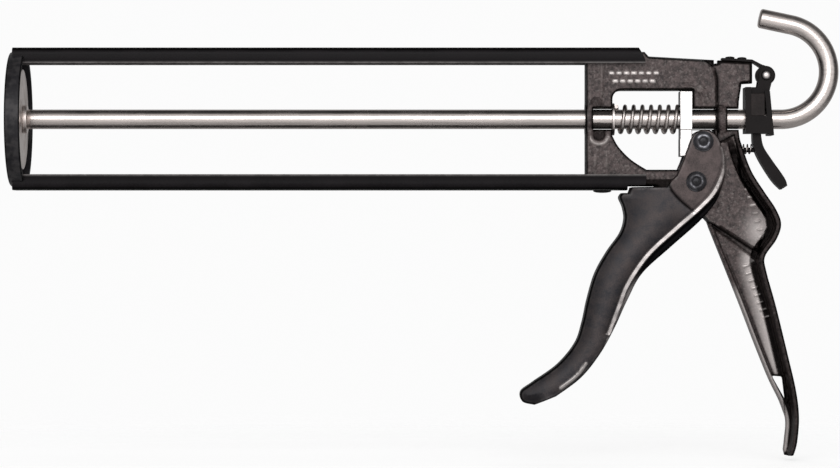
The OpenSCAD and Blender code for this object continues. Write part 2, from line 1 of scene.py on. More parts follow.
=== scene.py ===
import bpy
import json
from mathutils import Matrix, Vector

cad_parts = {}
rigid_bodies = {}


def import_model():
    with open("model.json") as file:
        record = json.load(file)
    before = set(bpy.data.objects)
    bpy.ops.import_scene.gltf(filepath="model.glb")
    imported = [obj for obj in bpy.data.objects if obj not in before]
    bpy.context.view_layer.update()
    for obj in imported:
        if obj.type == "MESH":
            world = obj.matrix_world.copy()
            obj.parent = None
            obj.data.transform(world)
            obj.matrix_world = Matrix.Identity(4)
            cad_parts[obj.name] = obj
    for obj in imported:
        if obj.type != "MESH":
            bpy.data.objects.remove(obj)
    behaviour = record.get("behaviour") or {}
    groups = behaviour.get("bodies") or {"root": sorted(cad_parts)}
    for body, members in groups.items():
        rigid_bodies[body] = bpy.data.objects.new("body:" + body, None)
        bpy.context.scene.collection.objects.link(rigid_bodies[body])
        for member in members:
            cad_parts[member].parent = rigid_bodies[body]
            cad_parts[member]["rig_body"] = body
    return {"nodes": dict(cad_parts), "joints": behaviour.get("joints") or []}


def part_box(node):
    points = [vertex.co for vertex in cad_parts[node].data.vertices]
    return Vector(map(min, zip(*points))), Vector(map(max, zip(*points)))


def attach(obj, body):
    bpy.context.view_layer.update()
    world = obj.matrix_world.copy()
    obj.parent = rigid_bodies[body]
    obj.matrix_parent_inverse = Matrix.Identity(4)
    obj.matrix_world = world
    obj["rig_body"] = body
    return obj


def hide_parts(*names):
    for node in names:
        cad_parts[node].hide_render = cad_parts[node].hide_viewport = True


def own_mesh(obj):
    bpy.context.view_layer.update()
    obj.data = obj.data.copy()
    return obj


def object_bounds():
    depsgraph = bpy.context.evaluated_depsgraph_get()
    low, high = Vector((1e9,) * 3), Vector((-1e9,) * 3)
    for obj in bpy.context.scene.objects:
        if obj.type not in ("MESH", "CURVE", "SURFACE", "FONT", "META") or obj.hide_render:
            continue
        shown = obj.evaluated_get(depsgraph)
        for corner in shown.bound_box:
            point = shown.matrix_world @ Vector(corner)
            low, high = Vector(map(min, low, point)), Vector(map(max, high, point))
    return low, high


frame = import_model()
cad_box = [list(corner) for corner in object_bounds()]

import json
import math

import bmesh
import bpy
import numpy as np
from bpy.props import FloatProperty, FloatVectorProperty, PointerProperty
from mathutils.geometry import delaunay_2d_cdt

bl_info = {
    "name": "Caulking gun",
    "version": (1, 0, 0),
    "blender": (4, 5, 0),
    "location": "3D View > Sidebar > Caulking gun",
    "description": "Builds the looks of a skeleton caulking gun round its packed frame",
    "category": "Object",
}

# Lengths are worked out in millimetres and put into the meshes in metres
METRES = 0.001
UP, ALONG, ACROSS = (0, 0, 1), (1, 0, 0), (0, 1, 0)


# ---- Places read from the frame ----

def corners(node):
    """Lowest and highest corner of a CAD node, in millimetres."""
    low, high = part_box(node)
    return np.array(low) / METRES, np.array(high) / METRES


def joint(name):
    """The frame's joint of that name."""
    return next(j for j in frame["joints"] if j["name"] == name)


PIVOT = np.array(joint("trigger_pull")["pos_m"])[[0, 2]] / METRES
HINGE = np.array(joint("catch_release")["pos_m"])[[0, 2]] / METRES
CAP_HIGH = corners("front_cap")[1]
RAIL_LOW, RAIL_HIGH = corners("top_rail")
CASTING_LOW = corners("housing")[0]
TRIGGER_LOW, TRIGGER_HIGH = corners("trigger")
SLEEVE_LOW, SLEEVE_HIGH = corners("drive_sleeve")
PLATE_HIGH = corners("drive_plate")[1]
WASHER_LOW, WASHER_HIGH = corners("spring_washer")
PISTON_LOW, PISTON_HIGH = corners("piston_plate")
ROD_LOW = corners("push_rod")[0]
SPRING_LOW, SPRING_HIGH = corners("main_spring")

RAIL_IN = CAP_HIGH[2]
RAIL_OUT = RAIL_HIGH[2]
RAIL_DEPTH = RAIL_HIGH[2] - RAIL_LOW[2]
RAIL_WALL = RAIL_OUT - RAIL_IN
RAIL_CORNER = 3.0
# Where the lower rail's back stops, ahead of the trigger
RAIL_BACK_END = PIVOT[0] - 31.4
HOUSE_X = CASTING_LOW[0]
WINDOW_X = WASHER_LOW[0]
WINDOW_END = PIVOT[0] - 1.4
WINDOW_TOP = PLATE_HIGH[2] + 0.4
WINDOW_FLOOR = 7.6 - RAIL_IN
HOUSE_END = HINGE[0] - 6.2
BLOCK_FRONT = WINDOW_END + 11.6
BLOCK_TOP = RAIL_IN - 4.7
NECK_X = HOUSE_END - 6.4
DRIVE = ((SLEEVE_LOW + SLEEVE_HIGH) / 2)[[0, 2]]
SLEEVE_R = (SLEEVE_HIGH[2] - SLEEVE_LOW[2]) / 2
ROD_R = 4.5
CHEEK_OUT = TRIGGER_HIGH[1]
CHEEK_IN = CHEEK_OUT - 3
BODY_HALF = CHEEK_IN - 0.3


# ---- Curves and outlines ----

def smooth_curve(points, steps=8):
    """A curve through the points. Between b and c, with neighbours a and d, it is
    0.5 (2b + (c - a) t + (2a - 5b + 4c - d) t^2 + (3b - a - 3c + d) t^3)."""
    p = np.asarray(points, float)
    q = np.vstack([p[:1], p, p[-1:]])
    a, b, c, d = (q[i:len(q) - 3 + i, None, :] for i in range(4))
    t = (np.arange(steps) / steps)[None, :, None]
    body = 0.5 * (2 * b + (c - a) * t + (2 * a - 5 * b + 4 * c - d) * t ** 2
                  + (3 * b - a - 3 * c + d) * t ** 3)
    return np.vstack([body.reshape(-1, p.shape[1]), p[-1:]])


def softened(points, radius, steps=4):
    """Rounds each corner p of a closed outline with (1 - t)^2 q + 2 t (1 - t) p + t^2 s, where q and s
    lie radius away from p towards its neighbours, or 0.45 of that side where it is short."""
    p = np.asarray(points, float)
    before, after = np.roll(p, 1, 0) - p, np.roll(p, -1, 0) - p
    sides = [np.linalg.norm(v, axis=1, keepdims=True) for v in (before, after)]
    reach = np.minimum(radius, 0.45 * np.minimum(*sides))
    q, s = p + before / sides[0] * reach, p + after / sides[1] * reach
    t = np.linspace(0, 1, steps + 1)[None, :, None]
    turns = (1 - t) ** 2 * q[:, None] + 2 * t * (1 - t) * p[:, None] + t ** 2 * s[:, None]
    return turns.reshape(-1, p.shape[1])


def arc(centre, radius, start, end, steps=10):
    """Points at centre + radius (cos a, sin a), with a from start to end in degrees."""
    a = np.radians(np.linspace(start, end, steps + 1))
    return np.asarray(centre) + radius * np.stack([np.cos(a), np.sin(a)], 1)


def divided(loop, step):
    """Splits each side of a closed outline into equal parts no longer than step."""
    following = np.roll(loop, -1, 0)
    parts = np.maximum(1, np.ceil(np.linalg.norm(following - loop, axis=1) / step)).astype(int)
    start = np.repeat(np.arange(len(loop)), parts)
    part = np.arange(parts.sum()) - np.repeat(np.cumsum(parts) - parts, parts)
    return loop[start] + (following - loop)[start] * (part / parts[start])[:, None]


def spread(path, step):
    """Even places along an open path, about step apart."""
    along = np.concatenate([[0], np.cumsum(np.linalg.norm(np.diff(path, axis=0), axis=1))])
    at = np.linspace(0, along[-1], int(along[-1] / step) + 1)
    return np.stack([np.interp(at, along, path[:, k]) for k in (0, 1)], 1)


def distance(points, path, closed=False):
    """Shortest distance from each point p to a path's stretches a to b:
    |p - a - clamp((p - a).(b - a) / |b - a|^2) (b - a)|."""
    a = path if closed else path[:-1]
    way = (np.roll(path, -1, 0) if closed else path[1:]) - a
    square = np.maximum((way ** 2).sum(1), 1e-12)
    batches = np.array_split(points, len(points) * len(a) // 3_000_000 + 1)
    found = []
    for batch in batches:
        v = batch[:, None, :] - a
        t = np.clip((v * way).sum(-1) / square, 0, 1)
        found.append(np.sqrt(((v - t[..., None] * way) ** 2).sum(-1).min(1)))
    return np.concatenate(found)


def inside(points, loop):
    """True where a ray towards +X crosses the closed loop an odd number of times."""
    a, b = loop, np.roll(loop, -1, 0)
    x, z = points[:, 0, None], points[:, 1, None]
    crosses = (a[:, 1] > z) != (b[:, 1] > z)
    rise = np.where(b[:, 1] == a[:, 1], 1, b[:, 1] - a[:, 1])
    return (crosses & (x < a[:, 0] + (z - a[:, 1]) * (b[:, 0] - a[:, 0]) / rise)).sum(1) % 2 == 1


def depth_in(points, loop):
    """Distance to a closed loop, positive inside and negative outside."""
    d = distance(points, loop, closed=True)
    return np.where(inside(points, loop), d, -d)


def ramp(value, low, high):
    """0 below low and 1 above high, with t^2 (3 - 2t) between them."""
    t = np.clip((value - low) / (high - low), 0, 1)
    return t * t * (3 - 2 * t)


def bump(value, width):
    """A ridge exp(-(value / width)^2)."""
    return np.exp(-(value / width) ** 2)


def fillet(d, radius):
    """How far a face falls at distance d from an edge of that radius: r - sqrt(r^2 - (r - d)^2)."""
    u = np.clip(1 - d / radius, 0, 1)
    return radius * (1 - np.sqrt(1 - u * u))


# ---- Meshes ----

def finish_mesh(name, points, faces, sharp=35, masks=None):
    """Puts points in millimetres and faces into a mesh, merges doubles, turns faces outwards and
    shades it smooth between edges sharper than the given angle in degrees."""
    mesh = bpy.data.meshes.new(name)
    mesh.from_pydata((np.asarray(points) * METRES).tolist(), [], faces)
    for label, values in (masks or {}).items():
        mesh.attributes.new(label, "FLOAT", "POINT").data.foreach_set("value", values.astype(np.float32))
    work = bmesh.new()
    work.from_mesh(mesh)
    bmesh.ops.remove_doubles(work, verts=work.verts, dist=1e-6)
    bmesh.ops.dissolve_degenerate(work, edges=work.edges, dist=1e-7)
    bmesh.ops.recalc_face_normals(work, faces=work.faces)
    work.to_mesh(mesh)
    work.free()
    mesh.shade_smooth()
    mesh.set_sharp_from_angle(angle=math.radians(sharp))
    mesh.update()
    piece = bpy.data.objects.new(name, mesh)
    bpy.context.scene.collection.objects.link(piece)
    return piece


def grid_faces(rows, columns, wrap_rows=False):
    """The four-sided faces of a grid of points, row by row. Each row is a closed loop."""
    r = np.arange(rows if wrap_rows else rows - 1)[:, None]
    c = np.arange(columns)[None, :]
    r2, c2 = (r + 1) % rows, (c + 1) % columns
    return np.stack([r * columns + c, r * columns + c2, r2 * columns + c2, r2 * columns + c],
                    -1).reshape(-1, 4).tolist()


def basis(axis):
    """Two directions u and v with u x v = axis, for an axis along X, Y or Z."""
    e = np.asarray(axis, float)
    return np.roll(e, 1), np.roll(e, 2)


def turned(profile, centre, axis, steps=64, closed=False):
    """Points centre + a axis + r (cos t u + sin t v), for each (a, r) of the profile and t round the
    circle."""
    a, r = np.asarray(profile, float).T
    u, v = basis(axis)
    t = np.linspace(0, 2 * np.pi, steps, endpoint=False)
    points = (np.asarray(centre, float) + a[:, None, None] * np.asarray(axis, float)
              + r[:, None, None] * (np.cos(t)[None, :, None] * u + np.sin(t)[None, :, None] * v))
    return points.reshape(-1, 3), grid_faces(len(a), steps, wrap_rows=closed)


def joined(parts):
    """Puts several (points, faces) pairs into one."""
    starts = np.cumsum([0] + [len(points) for points, _ in parts])
    faces = [[k + start for k in face] for (_, some), start in zip(parts, starts.tolist()) for face in some]
    return np.vstack([points for points, _ in parts]), faces


def tube(path, radius, sides):
    """A round bar along a path in the XZ plane: c(s) + r(s) (cos a n(s) + sin a Y), where n is the
    path's normal. A radius of 0 closes an end."""
    tangent = np.gradient(path, axis=0)
    tangent /= np.linalg.norm(tangent, axis=1, keepdims=True)
    normal = np.stack([-tangent[:, 1], tangent[:, 0]], 1)
    a = np.linspace(0, 2 * np.pi, sides, endpoint=False)
    flat = path[:, None, :] + (radius[:, None] * np.cos(a))[..., None] * normal[:, None, :]
    y = radius[:, None] * np.sin(a)
    points = np.stack([flat[..., 0], y, flat[..., 1]], -1).reshape(-1, 3)
    return points, grid_faces(len(path), sides)


def wire_coil(x0, length, outer, wire, turns, z0=0.0, sides=14, steps=36):
    """A coil round the X axis: x = x0 + w/2 + (L - w) u + w/2 sin b, q = R + w/2 cos b,
    y = q sin a and z = z0 + q cos a, with a = 2 pi turns u. Both ends are closed."""
    n = int(turns * steps)
    u = np.linspace(0, 1, n + 1)
    u = np.concatenate([[0], u, [1]])
    w = np.full(len(u), wire / 2)
    w[[0, -1]] = 0
    a = 2 * np.pi * turns * u
    b = np.linspace(0, 2 * np.pi, sides, endpoint=False)
    q = (outer - wire) / 2 + w[:, None] * np.cos(b)
    x = x0 + wire / 2 + (length - wire) * u[:, None] + w[:, None] * np.sin(b)
    points = np.stack([x, q * np.sin(a)[:, None], z0 + q * np.cos(a)[:, None]], -1)
    return points.reshape(-1, 3), grid_faces(len(u), sides)


def casting(outline, holes, height, spacing, rings, guides=()):
    """A cast plate. A triangular net fills the outline in the XZ plane, less its holes, and each point
    p stands at y = -height(p) on one side and y = +height(p) on the other. Rims join the two sides.
    Rings of points close to each edge let its rounding follow it, and rows of points at each guide's
    offsets from its line keep the ridge or step there clean."""
    loops = [divided(loop, spacing) for loop in (outline, *holes)]
    border = np.vstack(loops)
    starts = np.cumsum([0] + [len(loop) for loop in loops])
    sides = np.vstack([np.stack([np.arange(a, b), np.roll(np.arange(a, b), -1)], 1)
                       for a, b in zip(starts[:-1], starts[1:])])
    low, high = border.min(0), border.max(0)
    nx, nz = ((high - low) / (spacing, spacing * 0.87)).astype(int) + 2
    gx, gz = np.meshgrid(np.arange(nx), np.arange(nz))
    net = np.stack([low[0] + (gx + 0.5 * (gz % 2)) * spacing, low[1] + gz * spacing * 0.87], -1)
    net = net.reshape(-1, 2)

    def solid(points):
        held = inside(points, outline)
        for hole in holes:
            held &= ~inside(points, hole)
        return held

    def edge_distance(points):
        return np.min([distance(points, loop, closed=True) for loop in loops], axis=0)

    def beside(line, d):
        way = np.gradient(line, axis=0)
        way /= np.maximum(np.linalg.norm(way, axis=1, keepdims=True), 1e-9)
        row = line + d * np.stack([-way[:, 1], way[:, 0]], 1)
        return row[solid(row)]

    net = net[solid(net)]
    net = net[edge_distance(net) > rings[-1] + spacing * 0.4]
    rows = [border]
    for line, offsets in guides:
        line = spread(line, spacing)
        net = net[distance(net, line) > max(abs(d) for d in offsets) + spacing * 0.4]
        for d in offsets:
            row = beside(line, d)
            rows.append(row[edge_distance(row) > rings[-1] + 0.2])
    for d in rings:
        for loop in loops:
            for sign in (-1, 1):
                row = beside(loop, sign * d)
                rows.append(row[edge_distance(row) > 0.93 * d])
    points = np.vstack([*rows, net])
    found = delaunay_2d_cdt(points.tolist(), sides.tolist(), [], 0, 1e-6, False)
    flat, tris = np.array(found[0]).reshape(-1, 2), np.array(found[2])
    tris = tris[solid(flat[tris].mean(1))]
    used, tris = np.unique(tris, return_inverse=True)
    flat, tris = flat[used], tris.reshape(-1, 3)
    count = len(flat)
    h, masks = height(flat)
    front = np.stack([flat[:, 0], -h, flat[:, 1]], 1)
    back = front * (1, -1, 1)
    edges = np.vstack([tris[:, [0, 1]], tris[:, [1, 2]], tris[:, [2, 0]]])
    key = np.sort(edges, 1) @ (count, 1)
    _, first, times = np.unique(key, return_index=True, return_counts=True)
    rim = edges[first[times == 1]]
    walls = np.stack([rim[:, 0], rim[:, 0] + count, rim[:, 1] + count, rim[:, 1]], 1)
    faces = tris.tolist() + (tris[:, ::-1] + count).tolist() + walls.tolist()
    return np.vstack([front, back]), faces, {k: np.tile(v, 2) for k, v in masks.items()}


def cut_with(piece, points, faces, sharp=42):
    """Cuts one closed mesh in millimetres out of a piece and drops it."""
    mesh = bpy.data.meshes.new("cutter")
    mesh.from_pydata((points * METRES).tolist(), [], faces)
    work = bmesh.new()
    work.from_mesh(mesh)
    bmesh.ops.triangulate(work, faces=work.faces)
    bmesh.ops.recalc_face_normals(work, faces=work.faces)
    work.to_mesh(mesh)
    work.free()
    cutter = bpy.data.objects.new("cutter", mesh)
    bpy.context.scene.collection.objects.link(cutter)
    cut = piece.modifiers.new("cut", "BOOLEAN")
    cut.operation = "DIFFERENCE"
    cut.solver = "EXACT"
    cut.object = cutter
    shaped = bpy.data.meshes.new_from_object(piece.evaluated_get(bpy.context.evaluated_depsgraph_get()))
    piece.modifiers.clear()
    piece.data = shaped
    shaped.shade_smooth()
    shaped.set_sharp_from_angle(angle=math.radians(sharp))
    bpy.data.objects.remove(cutter)


def block(low, high):
    """A plain box between two corners, as a cutter."""
    x, y, z = (np.array([a, b]) for a, b in zip(low, high))
    points = np.stack(np.meshgrid(x, y, z, indexing="ij"), -1).reshape(-1, 3)
    faces = [[0, 1, 3, 2], [4, 6, 7, 5], [0, 4, 5, 1], [2, 3, 7, 6], [0, 2, 6, 4], [1, 5, 7, 3]]
    return points, faces


def prism(loop, half):
    """A straight-sided bar with its outline in the XZ plane, half thick on each side, as a cutter."""
    n = len(loop)
    front = np.stack([loop[:, 0], np.full(n, -half), loop[:, 1]], 1)
    around = grid_faces(2, n)
    return np.vstack([front, front * (1, -1, 1)]), around, n


def place(piece, body, slot, material, *nodes):
    """Gives a piece its material, hides the nodes it stands for, and lets it ride. Its slot is not used."""
    piece.data.materials.clear()
    piece.data.materials.append(material)
    if nodes:
        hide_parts(*nodes)
    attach(piece, body)
    return piece


def dress_node(name, material, bevel=0.0):
    """Gives a CAD node its material, and softens its edges by bevel millimetres."""
    node = frame["nodes"][name]
    if not node.material_slots:
        node.data.materials.append(material)
    for slot in node.material_slots:
        slot.material = material
    if bevel:
        weld = node.modifiers.new("weld", "WELD")
        weld.merge_threshold = 1e-6
        soft = node.modifiers.new("soften", "BEVEL")
        soft.width = bevel * METRES
        soft.segments = 3
        soft.limit_method = "ANGLE"
        soft.angle_limit = math.radians(32)
        soft.harden_normals = True
    return node


# ---- Shader groups ----

def add(tree, kind, **settings):
    """A new node of that kind, with its properties set."""
    made = tree.nodes.new(kind)
    for key, value in settings.items():
        setattr(made, key, value)
    return made


def noise(tree, vector, scale, detail=4.0, roughness=0.55):
    """A noise texture read at a vector; returns its factor."""
    made = add(tree, "ShaderNodeTexNoise")
    made.inputs["Scale"].default_value = scale
    made.inputs["Detail"].default_value = detail
    made.inputs["Roughness"].default_value = roughness
    tree.links.new(vector, made.inputs["Vector"])
    return made.outputs["Fac"]


def maths(tree, operation, a, b=None, clamp=False):
    """A maths node on links or numbers."""
    made = add(tree, "ShaderNodeMath", operation=operation, use_clamp=clamp)
    for value, socket in zip((a, b), made.inputs):
        if value is None:
            continue
        if isinstance(value, (int, float)):
            socket.default_value = value
        else:
            tree.links.new(value, socket)
    return made.outputs[0]


def mapped(tree, value, low, high, to_low=0.0, to_high=1.0):
    """Maps low..high to to_low..to_high with a soft curve, held at its ends."""
    made = add(tree, "ShaderNodeMapRange", interpolation_type="SMOOTHSTEP")
    tree.links.new(value, made.inputs["Value"])
    for label, number in (("From Min", low), ("From Max", high), ("To Min", to_low), ("To Max", to_high)):
        if isinstance(number, (int, float)):
            made.inputs[label].default_value = number
        else:
            tree.links.new(number, made.inputs[label])
    return made.outputs["Result"]


def mixed(tree, factor, a, b):
    """Mixes two colours, each a link or three numbers."""
    made = add(tree, "ShaderNodeMix", data_type="RGBA")
    for label, value in (("Factor_Float", factor), ("A_Color", a), ("B_Color", b)):
        socket = next(s for s in made.inputs if s.identifier == label)
        if isinstance(value, (int, float)):
            socket.default_value = value
        elif isinstance(value, (tuple, list)) or hasattr(value, "r"):
            socket.default_value = (*tuple(value)[:3], 1.0)
        else:
            tree.links.new(value, socket)
    return next(s for s in made.outputs if s.identifier == "Result_Color")


def new_group(name, ins, outs):
    """An empty shader group with named inputs, each (name, socket type, default), and outputs."""
    group = bpy.data.node_groups.new(name, "ShaderNodeTree")
    for label, kind, value in ins:
        socket = group.interface.new_socket(name=label, in_out="INPUT", socket_type=kind)
        if value is not None:
            socket.default_value = value
    for label, kind in outs:
        group.interface.new_socket(name=label, in_out="OUTPUT", socket_type=kind)
    return group, add(group, "NodeGroupInput"), add(group, "NodeGroupOutput")


def make_grain_group():
    """Mottling of a painted or cast surface: a broad cloud, a fine grain, and their height."""
    tree, source, target = new_group(
        "surface_grain",
        [("Vector", "NodeSocketVector", None), ("Broad Scale", "NodeSocketFloat", 120.0),
         ("Fine Scale", "NodeSocketFloat", 1400.0)],
        [("Broad", "NodeSocketFloat"), ("Fine", "NodeSocketFloat"), ("Height", "NodeSocketFloat")])
    broad, fine = (add(tree, "ShaderNodeTexNoise") for _ in range(2))
    for made, label, detail in ((broad, "Broad Scale", 5.0), (fine, "Fine Scale", 3.0)):
        tree.links.new(source.outputs["Vector"], made.inputs["Vector"])
        tree.links.new(source.outputs[label], made.inputs["Scale"])
        made.inputs["Detail"].default_value = detail
        made.inputs["Roughness"].default_value = 0.6
    cloud = mapped(tree, broad.outputs["Fac"], 0.3, 0.7)
    speck = mapped(tree, fine.outputs["Fac"], 0.25, 0.75)
    tree.links.new(cloud, target.inputs["Broad"])
    tree.links.new(speck, target.inputs["Fine"])
    height = maths(tree, "ADD", maths(tree, "MULTIPLY", cloud, 0.6), maths(tree, "MULTIPLY", speck, 0.4))
    tree.links.new(height, target.inputs["Height"])
    return tree


def make_wear_group():
    """Worn edges: a piece's own edge mask, broken up by noise so that the wear comes and goes."""
    tree, source, target = new_group(
        "edge_wear",
        [("Vector", "NodeSocketVector", None), ("Edge", "NodeSocketFloat", 0.0),
         ("Amount", "NodeSocketFloat", 0.5), ("Scale", "NodeSocketFloat", 300.0)],
        [("Mask", "NodeSocketFloat")])
    patches = add(tree, "ShaderNodeTexNoise")
    tree.links.new(source.outputs["Vector"], patches.inputs["Vector"])
    tree.links.new(source.outputs["Scale"], patches.inputs["Scale"])
    patches.inputs["Detail"].default_value = 6.0
    broken = maths(tree, "MULTIPLY", source.outputs["Edge"], mapped(tree, patches.outputs["Fac"], 0.38, 0.62))
    tree.links.new(maths(tree, "MULTIPLY", broken, source.outputs["Amount"], clamp=True),
                   target.inputs["Mask"])
    return tree


def make_dust_group():
    """Dust that settles on faces that look up, and patchy dirt and painted shade in a piece's own hollows."""
    tree, source, target = new_group(
        "dust_dirt_and_shade",
        [("Vector", "NodeSocketVector", None), ("Hollow", "NodeSocketFloat", 0.0),
         ("Dust Amount", "NodeSocketFloat", 0.3)],
        [("Dust", "NodeSocketFloat"), ("Dirt And Shade", "NodeSocketFloat")])
    place_of = add(tree, "ShaderNodeTexCoord")
    split = add(tree, "ShaderNodeSeparateXYZ")
    tree.links.new(place_of.outputs["Normal"], split.inputs["Vector"])
    up = mapped(tree, split.outputs["Z"], 0.55, 1.0)
    cloud = mapped(tree, noise(tree, source.outputs["Vector"], 90.0, 6.0, 0.65), 0.35, 0.75)
    dust = maths(tree, "MULTIPLY", maths(tree, "MULTIPLY", up, cloud), source.outputs["Dust Amount"])
    grit = mapped(tree, noise(tree, source.outputs["Vector"], 500.0, 4.0, 0.6), 0.2, 0.6)
    tree.links.new(dust, target.inputs["Dust"])
    tree.links.new(maths(tree, "MULTIPLY", source.outputs["Hollow"], grit, clamp=True), target.inputs["Dirt And Shade"])
    return tree


def make_streak_group():
    """Fine lines that drawing or plating leaves along a bar: noise on a stretched vector."""
    tree, source, target = new_group(
        "drawn_streaks",
        [("Vector", "NodeSocketVector", None), ("Scale", "NodeSocketFloat", 900.0)],
        [("Lines", "NodeSocketFloat"), ("Blotches", "NodeSocketFloat")])
    lines = add(tree, "ShaderNodeTexNoise")
    tree.links.new(source.outputs["Vector"], lines.inputs["Vector"])
    tree.links.new(source.outputs["Scale"], lines.inputs["Scale"])
    lines.inputs["Detail"].default_value = 3.0
    tree.links.new(mapped(tree, lines.outputs["Fac"], 0.3, 0.7), target.inputs["Lines"])
    blotch = noise(tree, source.outputs["Vector"], 60.0, 5.0, 0.6)
    tree.links.new(mapped(tree, blotch, 0.35, 0.7), target.inputs["Blotches"])
    return tree


def use_group(tree, group, links):
    """Places a shader group in a material, with links or numbers on its inputs."""
    made = add(tree, "ShaderNodeGroup", node_tree=group)
    for label, value in links.items():
        if isinstance(value, (int, float)):
            made.inputs[label].default_value = value
        else:
            tree.links.new(value, made.inputs[label])
    return made


# ---- Materials ----

def new_material(name):
    """An empty material with its shader, output and object coordinates."""
    material = bpy.data.materials.new(name)
    material.use_nodes = True
    tree = material.node_tree
    tree.nodes.clear()
    shader = add(tree, "ShaderNodeBsdfPrincipled")
    output = add(tree, "ShaderNodeOutputMaterial")
    tree.links.new(shader.outputs["BSDF"], output.inputs["Surface"])
    coords = add(tree, "ShaderNodeTexCoord")
    return material, tree, shader, coords.outputs["Object"]


def mask(tree, name):
    """One of a piece's own masks."""
    return add(tree, "ShaderNodeAttribute", attribute_name=name).outputs["Fac"]


def add_bump(tree, shader, height, strength, reach):
    """Feeds a height into the shader's normal. reach is the height of a full step, in metres."""
    made = add(tree, "ShaderNodeBump")
    made.inputs["Strength"].default_value = strength
    made.inputs["Distance"].default_value = reach
    tree.links.new(height, made.inputs["Height"])
    tree.links.new(made.outputs["Normal"], shader.inputs["Normal"])


# Colours of dust, of bare rubbed metal and painted highlights, of old tarnish and of the painted shade on the
# plate's end faces
DUST = (0.30, 0.28, 0.26)
BARE_AND_HIGHLIGHT = (0.80, 0.74, 0.72)
TARNISH = (0.20, 0.14, 0.11)
PLATE_END_SHADE = (0.02, 0.018, 0.018)
# Height of a full step in the plating's lines, in metres
PLATING_STEP = 2e-5


def painted(name, groups, light, dark, worn, roughness, broad, fine, bump_reach, metallic=0.0, wear=0.5,
            dust=0.1, specular=0.3, specks=0.0, tint=None):
    """Paint on metal: a mottled colour between dark and light, worn along edges, darkened in hollows by dirt
    and painted shade, and dusty on top. A piece's own masks add painted deep shade, bare polished metal with
    painted highlights, and a second tint."""
    material, tree, shader, place_of = new_material(name)
    grain = use_group(tree, groups["grain"],
                      {"Vector": place_of, "Broad Scale": broad, "Fine Scale": fine})
    wear_mask = use_group(tree, groups["wear"],
                          {"Vector": place_of, "Edge": mask(tree, "edge"), "Amount": wear}).outputs["Mask"]
    dust_dirt_shade = use_group(tree, groups["dust"],
                     {"Vector": place_of, "Hollow": mask(tree, "hollow"), "Dust Amount": dust})
    shade_mask, bare_and_highlight = mask(tree, "shade"), mask(tree, "bare_and_highlight")
    deep = tuple(0.12 * c for c in tuple(dark)[:3])
    cloud = maths(tree, "ADD", maths(tree, "MULTIPLY", grain.outputs["Broad"], 0.6),
                  maths(tree, "MULTIPLY", grain.outputs["Fine"], 0.4))
    colour = mixed(tree, cloud, dark, light)
    if tint:
        second = mixed(tree, cloud, tuple(0.7 * c for c in tint), tuple(2.7 * c for c in tint))
        colour = mixed(tree, mask(tree, "tint"), colour, second)
    if specks:
        speckle = mapped(tree, noise(tree, place_of, fine * 0.6, 2.0), 0.50, 0.75)
        colour = mixed(tree, maths(tree, "MULTIPLY", speckle, specks), colour, worn)
    # Hollows are darkened with dirt and painted shade
    colour = mixed(tree, dust_dirt_shade.outputs["Dirt And Shade"], colour, tuple(0.25 * c for c in tuple(dark)[:3]))
    colour = mixed(tree, wear_mask, colour, worn)
    # Painted deep shade from the shade mask, then bare metal and painted highlights
    colour = mixed(tree, shade_mask, colour, deep)
    colour = mixed(tree, bare_and_highlight, colour, BARE_AND_HIGHLIGHT)
    colour = mixed(tree, dust_dirt_shade.outputs["Dust"], colour, DUST)
    tree.links.new(colour, shader.inputs["Base Color"])
    rough = mapped(tree, cloud, 0.0, 1.0, roughness - 0.07, roughness + 0.07)
    rough = maths(tree, "ADD", rough, maths(tree, "MULTIPLY", dust_dirt_shade.outputs["Dust"], 0.4), clamp=True)
    tree.links.new(rough, shader.inputs["Roughness"])
    bare = maths(tree, "ADD", maths(tree, "MULTIPLY", wear_mask, 0.6), metallic)
    covered = maths(tree, "MAXIMUM", shade_mask, bare_and_highlight)
    tree.links.new(maths(tree, "MAXIMUM", bare, covered, clamp=True), shader.inputs["Metallic"])
    shader.inputs["Specular IOR Level"].default_value = specular
    add_bump(tree, shader, grain.outputs["Height"], 0.5, bump_reach)
    return material


def plated(name, groups, light, dark, roughness, stretch, stain=TARNISH, shaded_ends=False):
    """Bright plated steel: streaks along the bar, blotches of tarnish, and a dull film in hollows. The faces
    that look along the rod may be painted dark as shade."""
    material, tree, shader, place_of = new_material(name)
    stretched = add(tree, "ShaderNodeMapping")
    stretched.inputs["Scale"].default_value = stretch
    tree.links.new(place_of, stretched.inputs["Vector"])
    streaks = use_group(tree, groups["streaks"], {"Vector": stretched.outputs["Vector"]})
    grain = use_group(tree, groups["grain"],
                      {"Vector": place_of, "Broad Scale": 70.0, "Fine Scale": 1600.0})
    colour = mixed(tree, streaks.outputs["Lines"], dark, light)
    tarnish = maths(tree, "MULTIPLY", streaks.outputs["Blotches"], 0.22)
    colour = mixed(tree, tarnish, colour, stain)
    colour = mixed(tree, maths(tree, "MULTIPLY", mask(tree, "hollow"), 0.8), colour, stain)
    if shaded_ends:
        # Faces that look along X are painted near black as shade
        coords = add(tree, "ShaderNodeTexCoord")
        split = add(tree, "ShaderNodeSeparateXYZ")
        tree.links.new(coords.outputs["Normal"], split.inputs["Vector"])
        facing = mapped(tree, maths(tree, "ABSOLUTE", split.outputs["X"]), 0.5, 0.8, 0.0, 0.93)
        colour = mixed(tree, facing, colour, PLATE_END_SHADE)
    tree.links.new(colour, shader.inputs["Base Color"])
    rough = mapped(tree, grain.outputs["Broad"], 0.0, 1.0, roughness - 0.06, roughness + 0.10)
    tree.links.new(rough, shader.inputs["Roughness"])
    metal = mapped(tree, tarnish, 0.0, 0.22, 1.0, 0.9)
    tree.links.new(metal, shader.inputs["Metallic"])
    height = maths(tree, "ADD", streaks.outputs["Lines"], maths(tree, "MULTIPLY", grain.outputs["Fine"], 0.5))
    add_bump(tree, shader, height, 0.4, PLATING_STEP)
    return material


FINISHES = {}


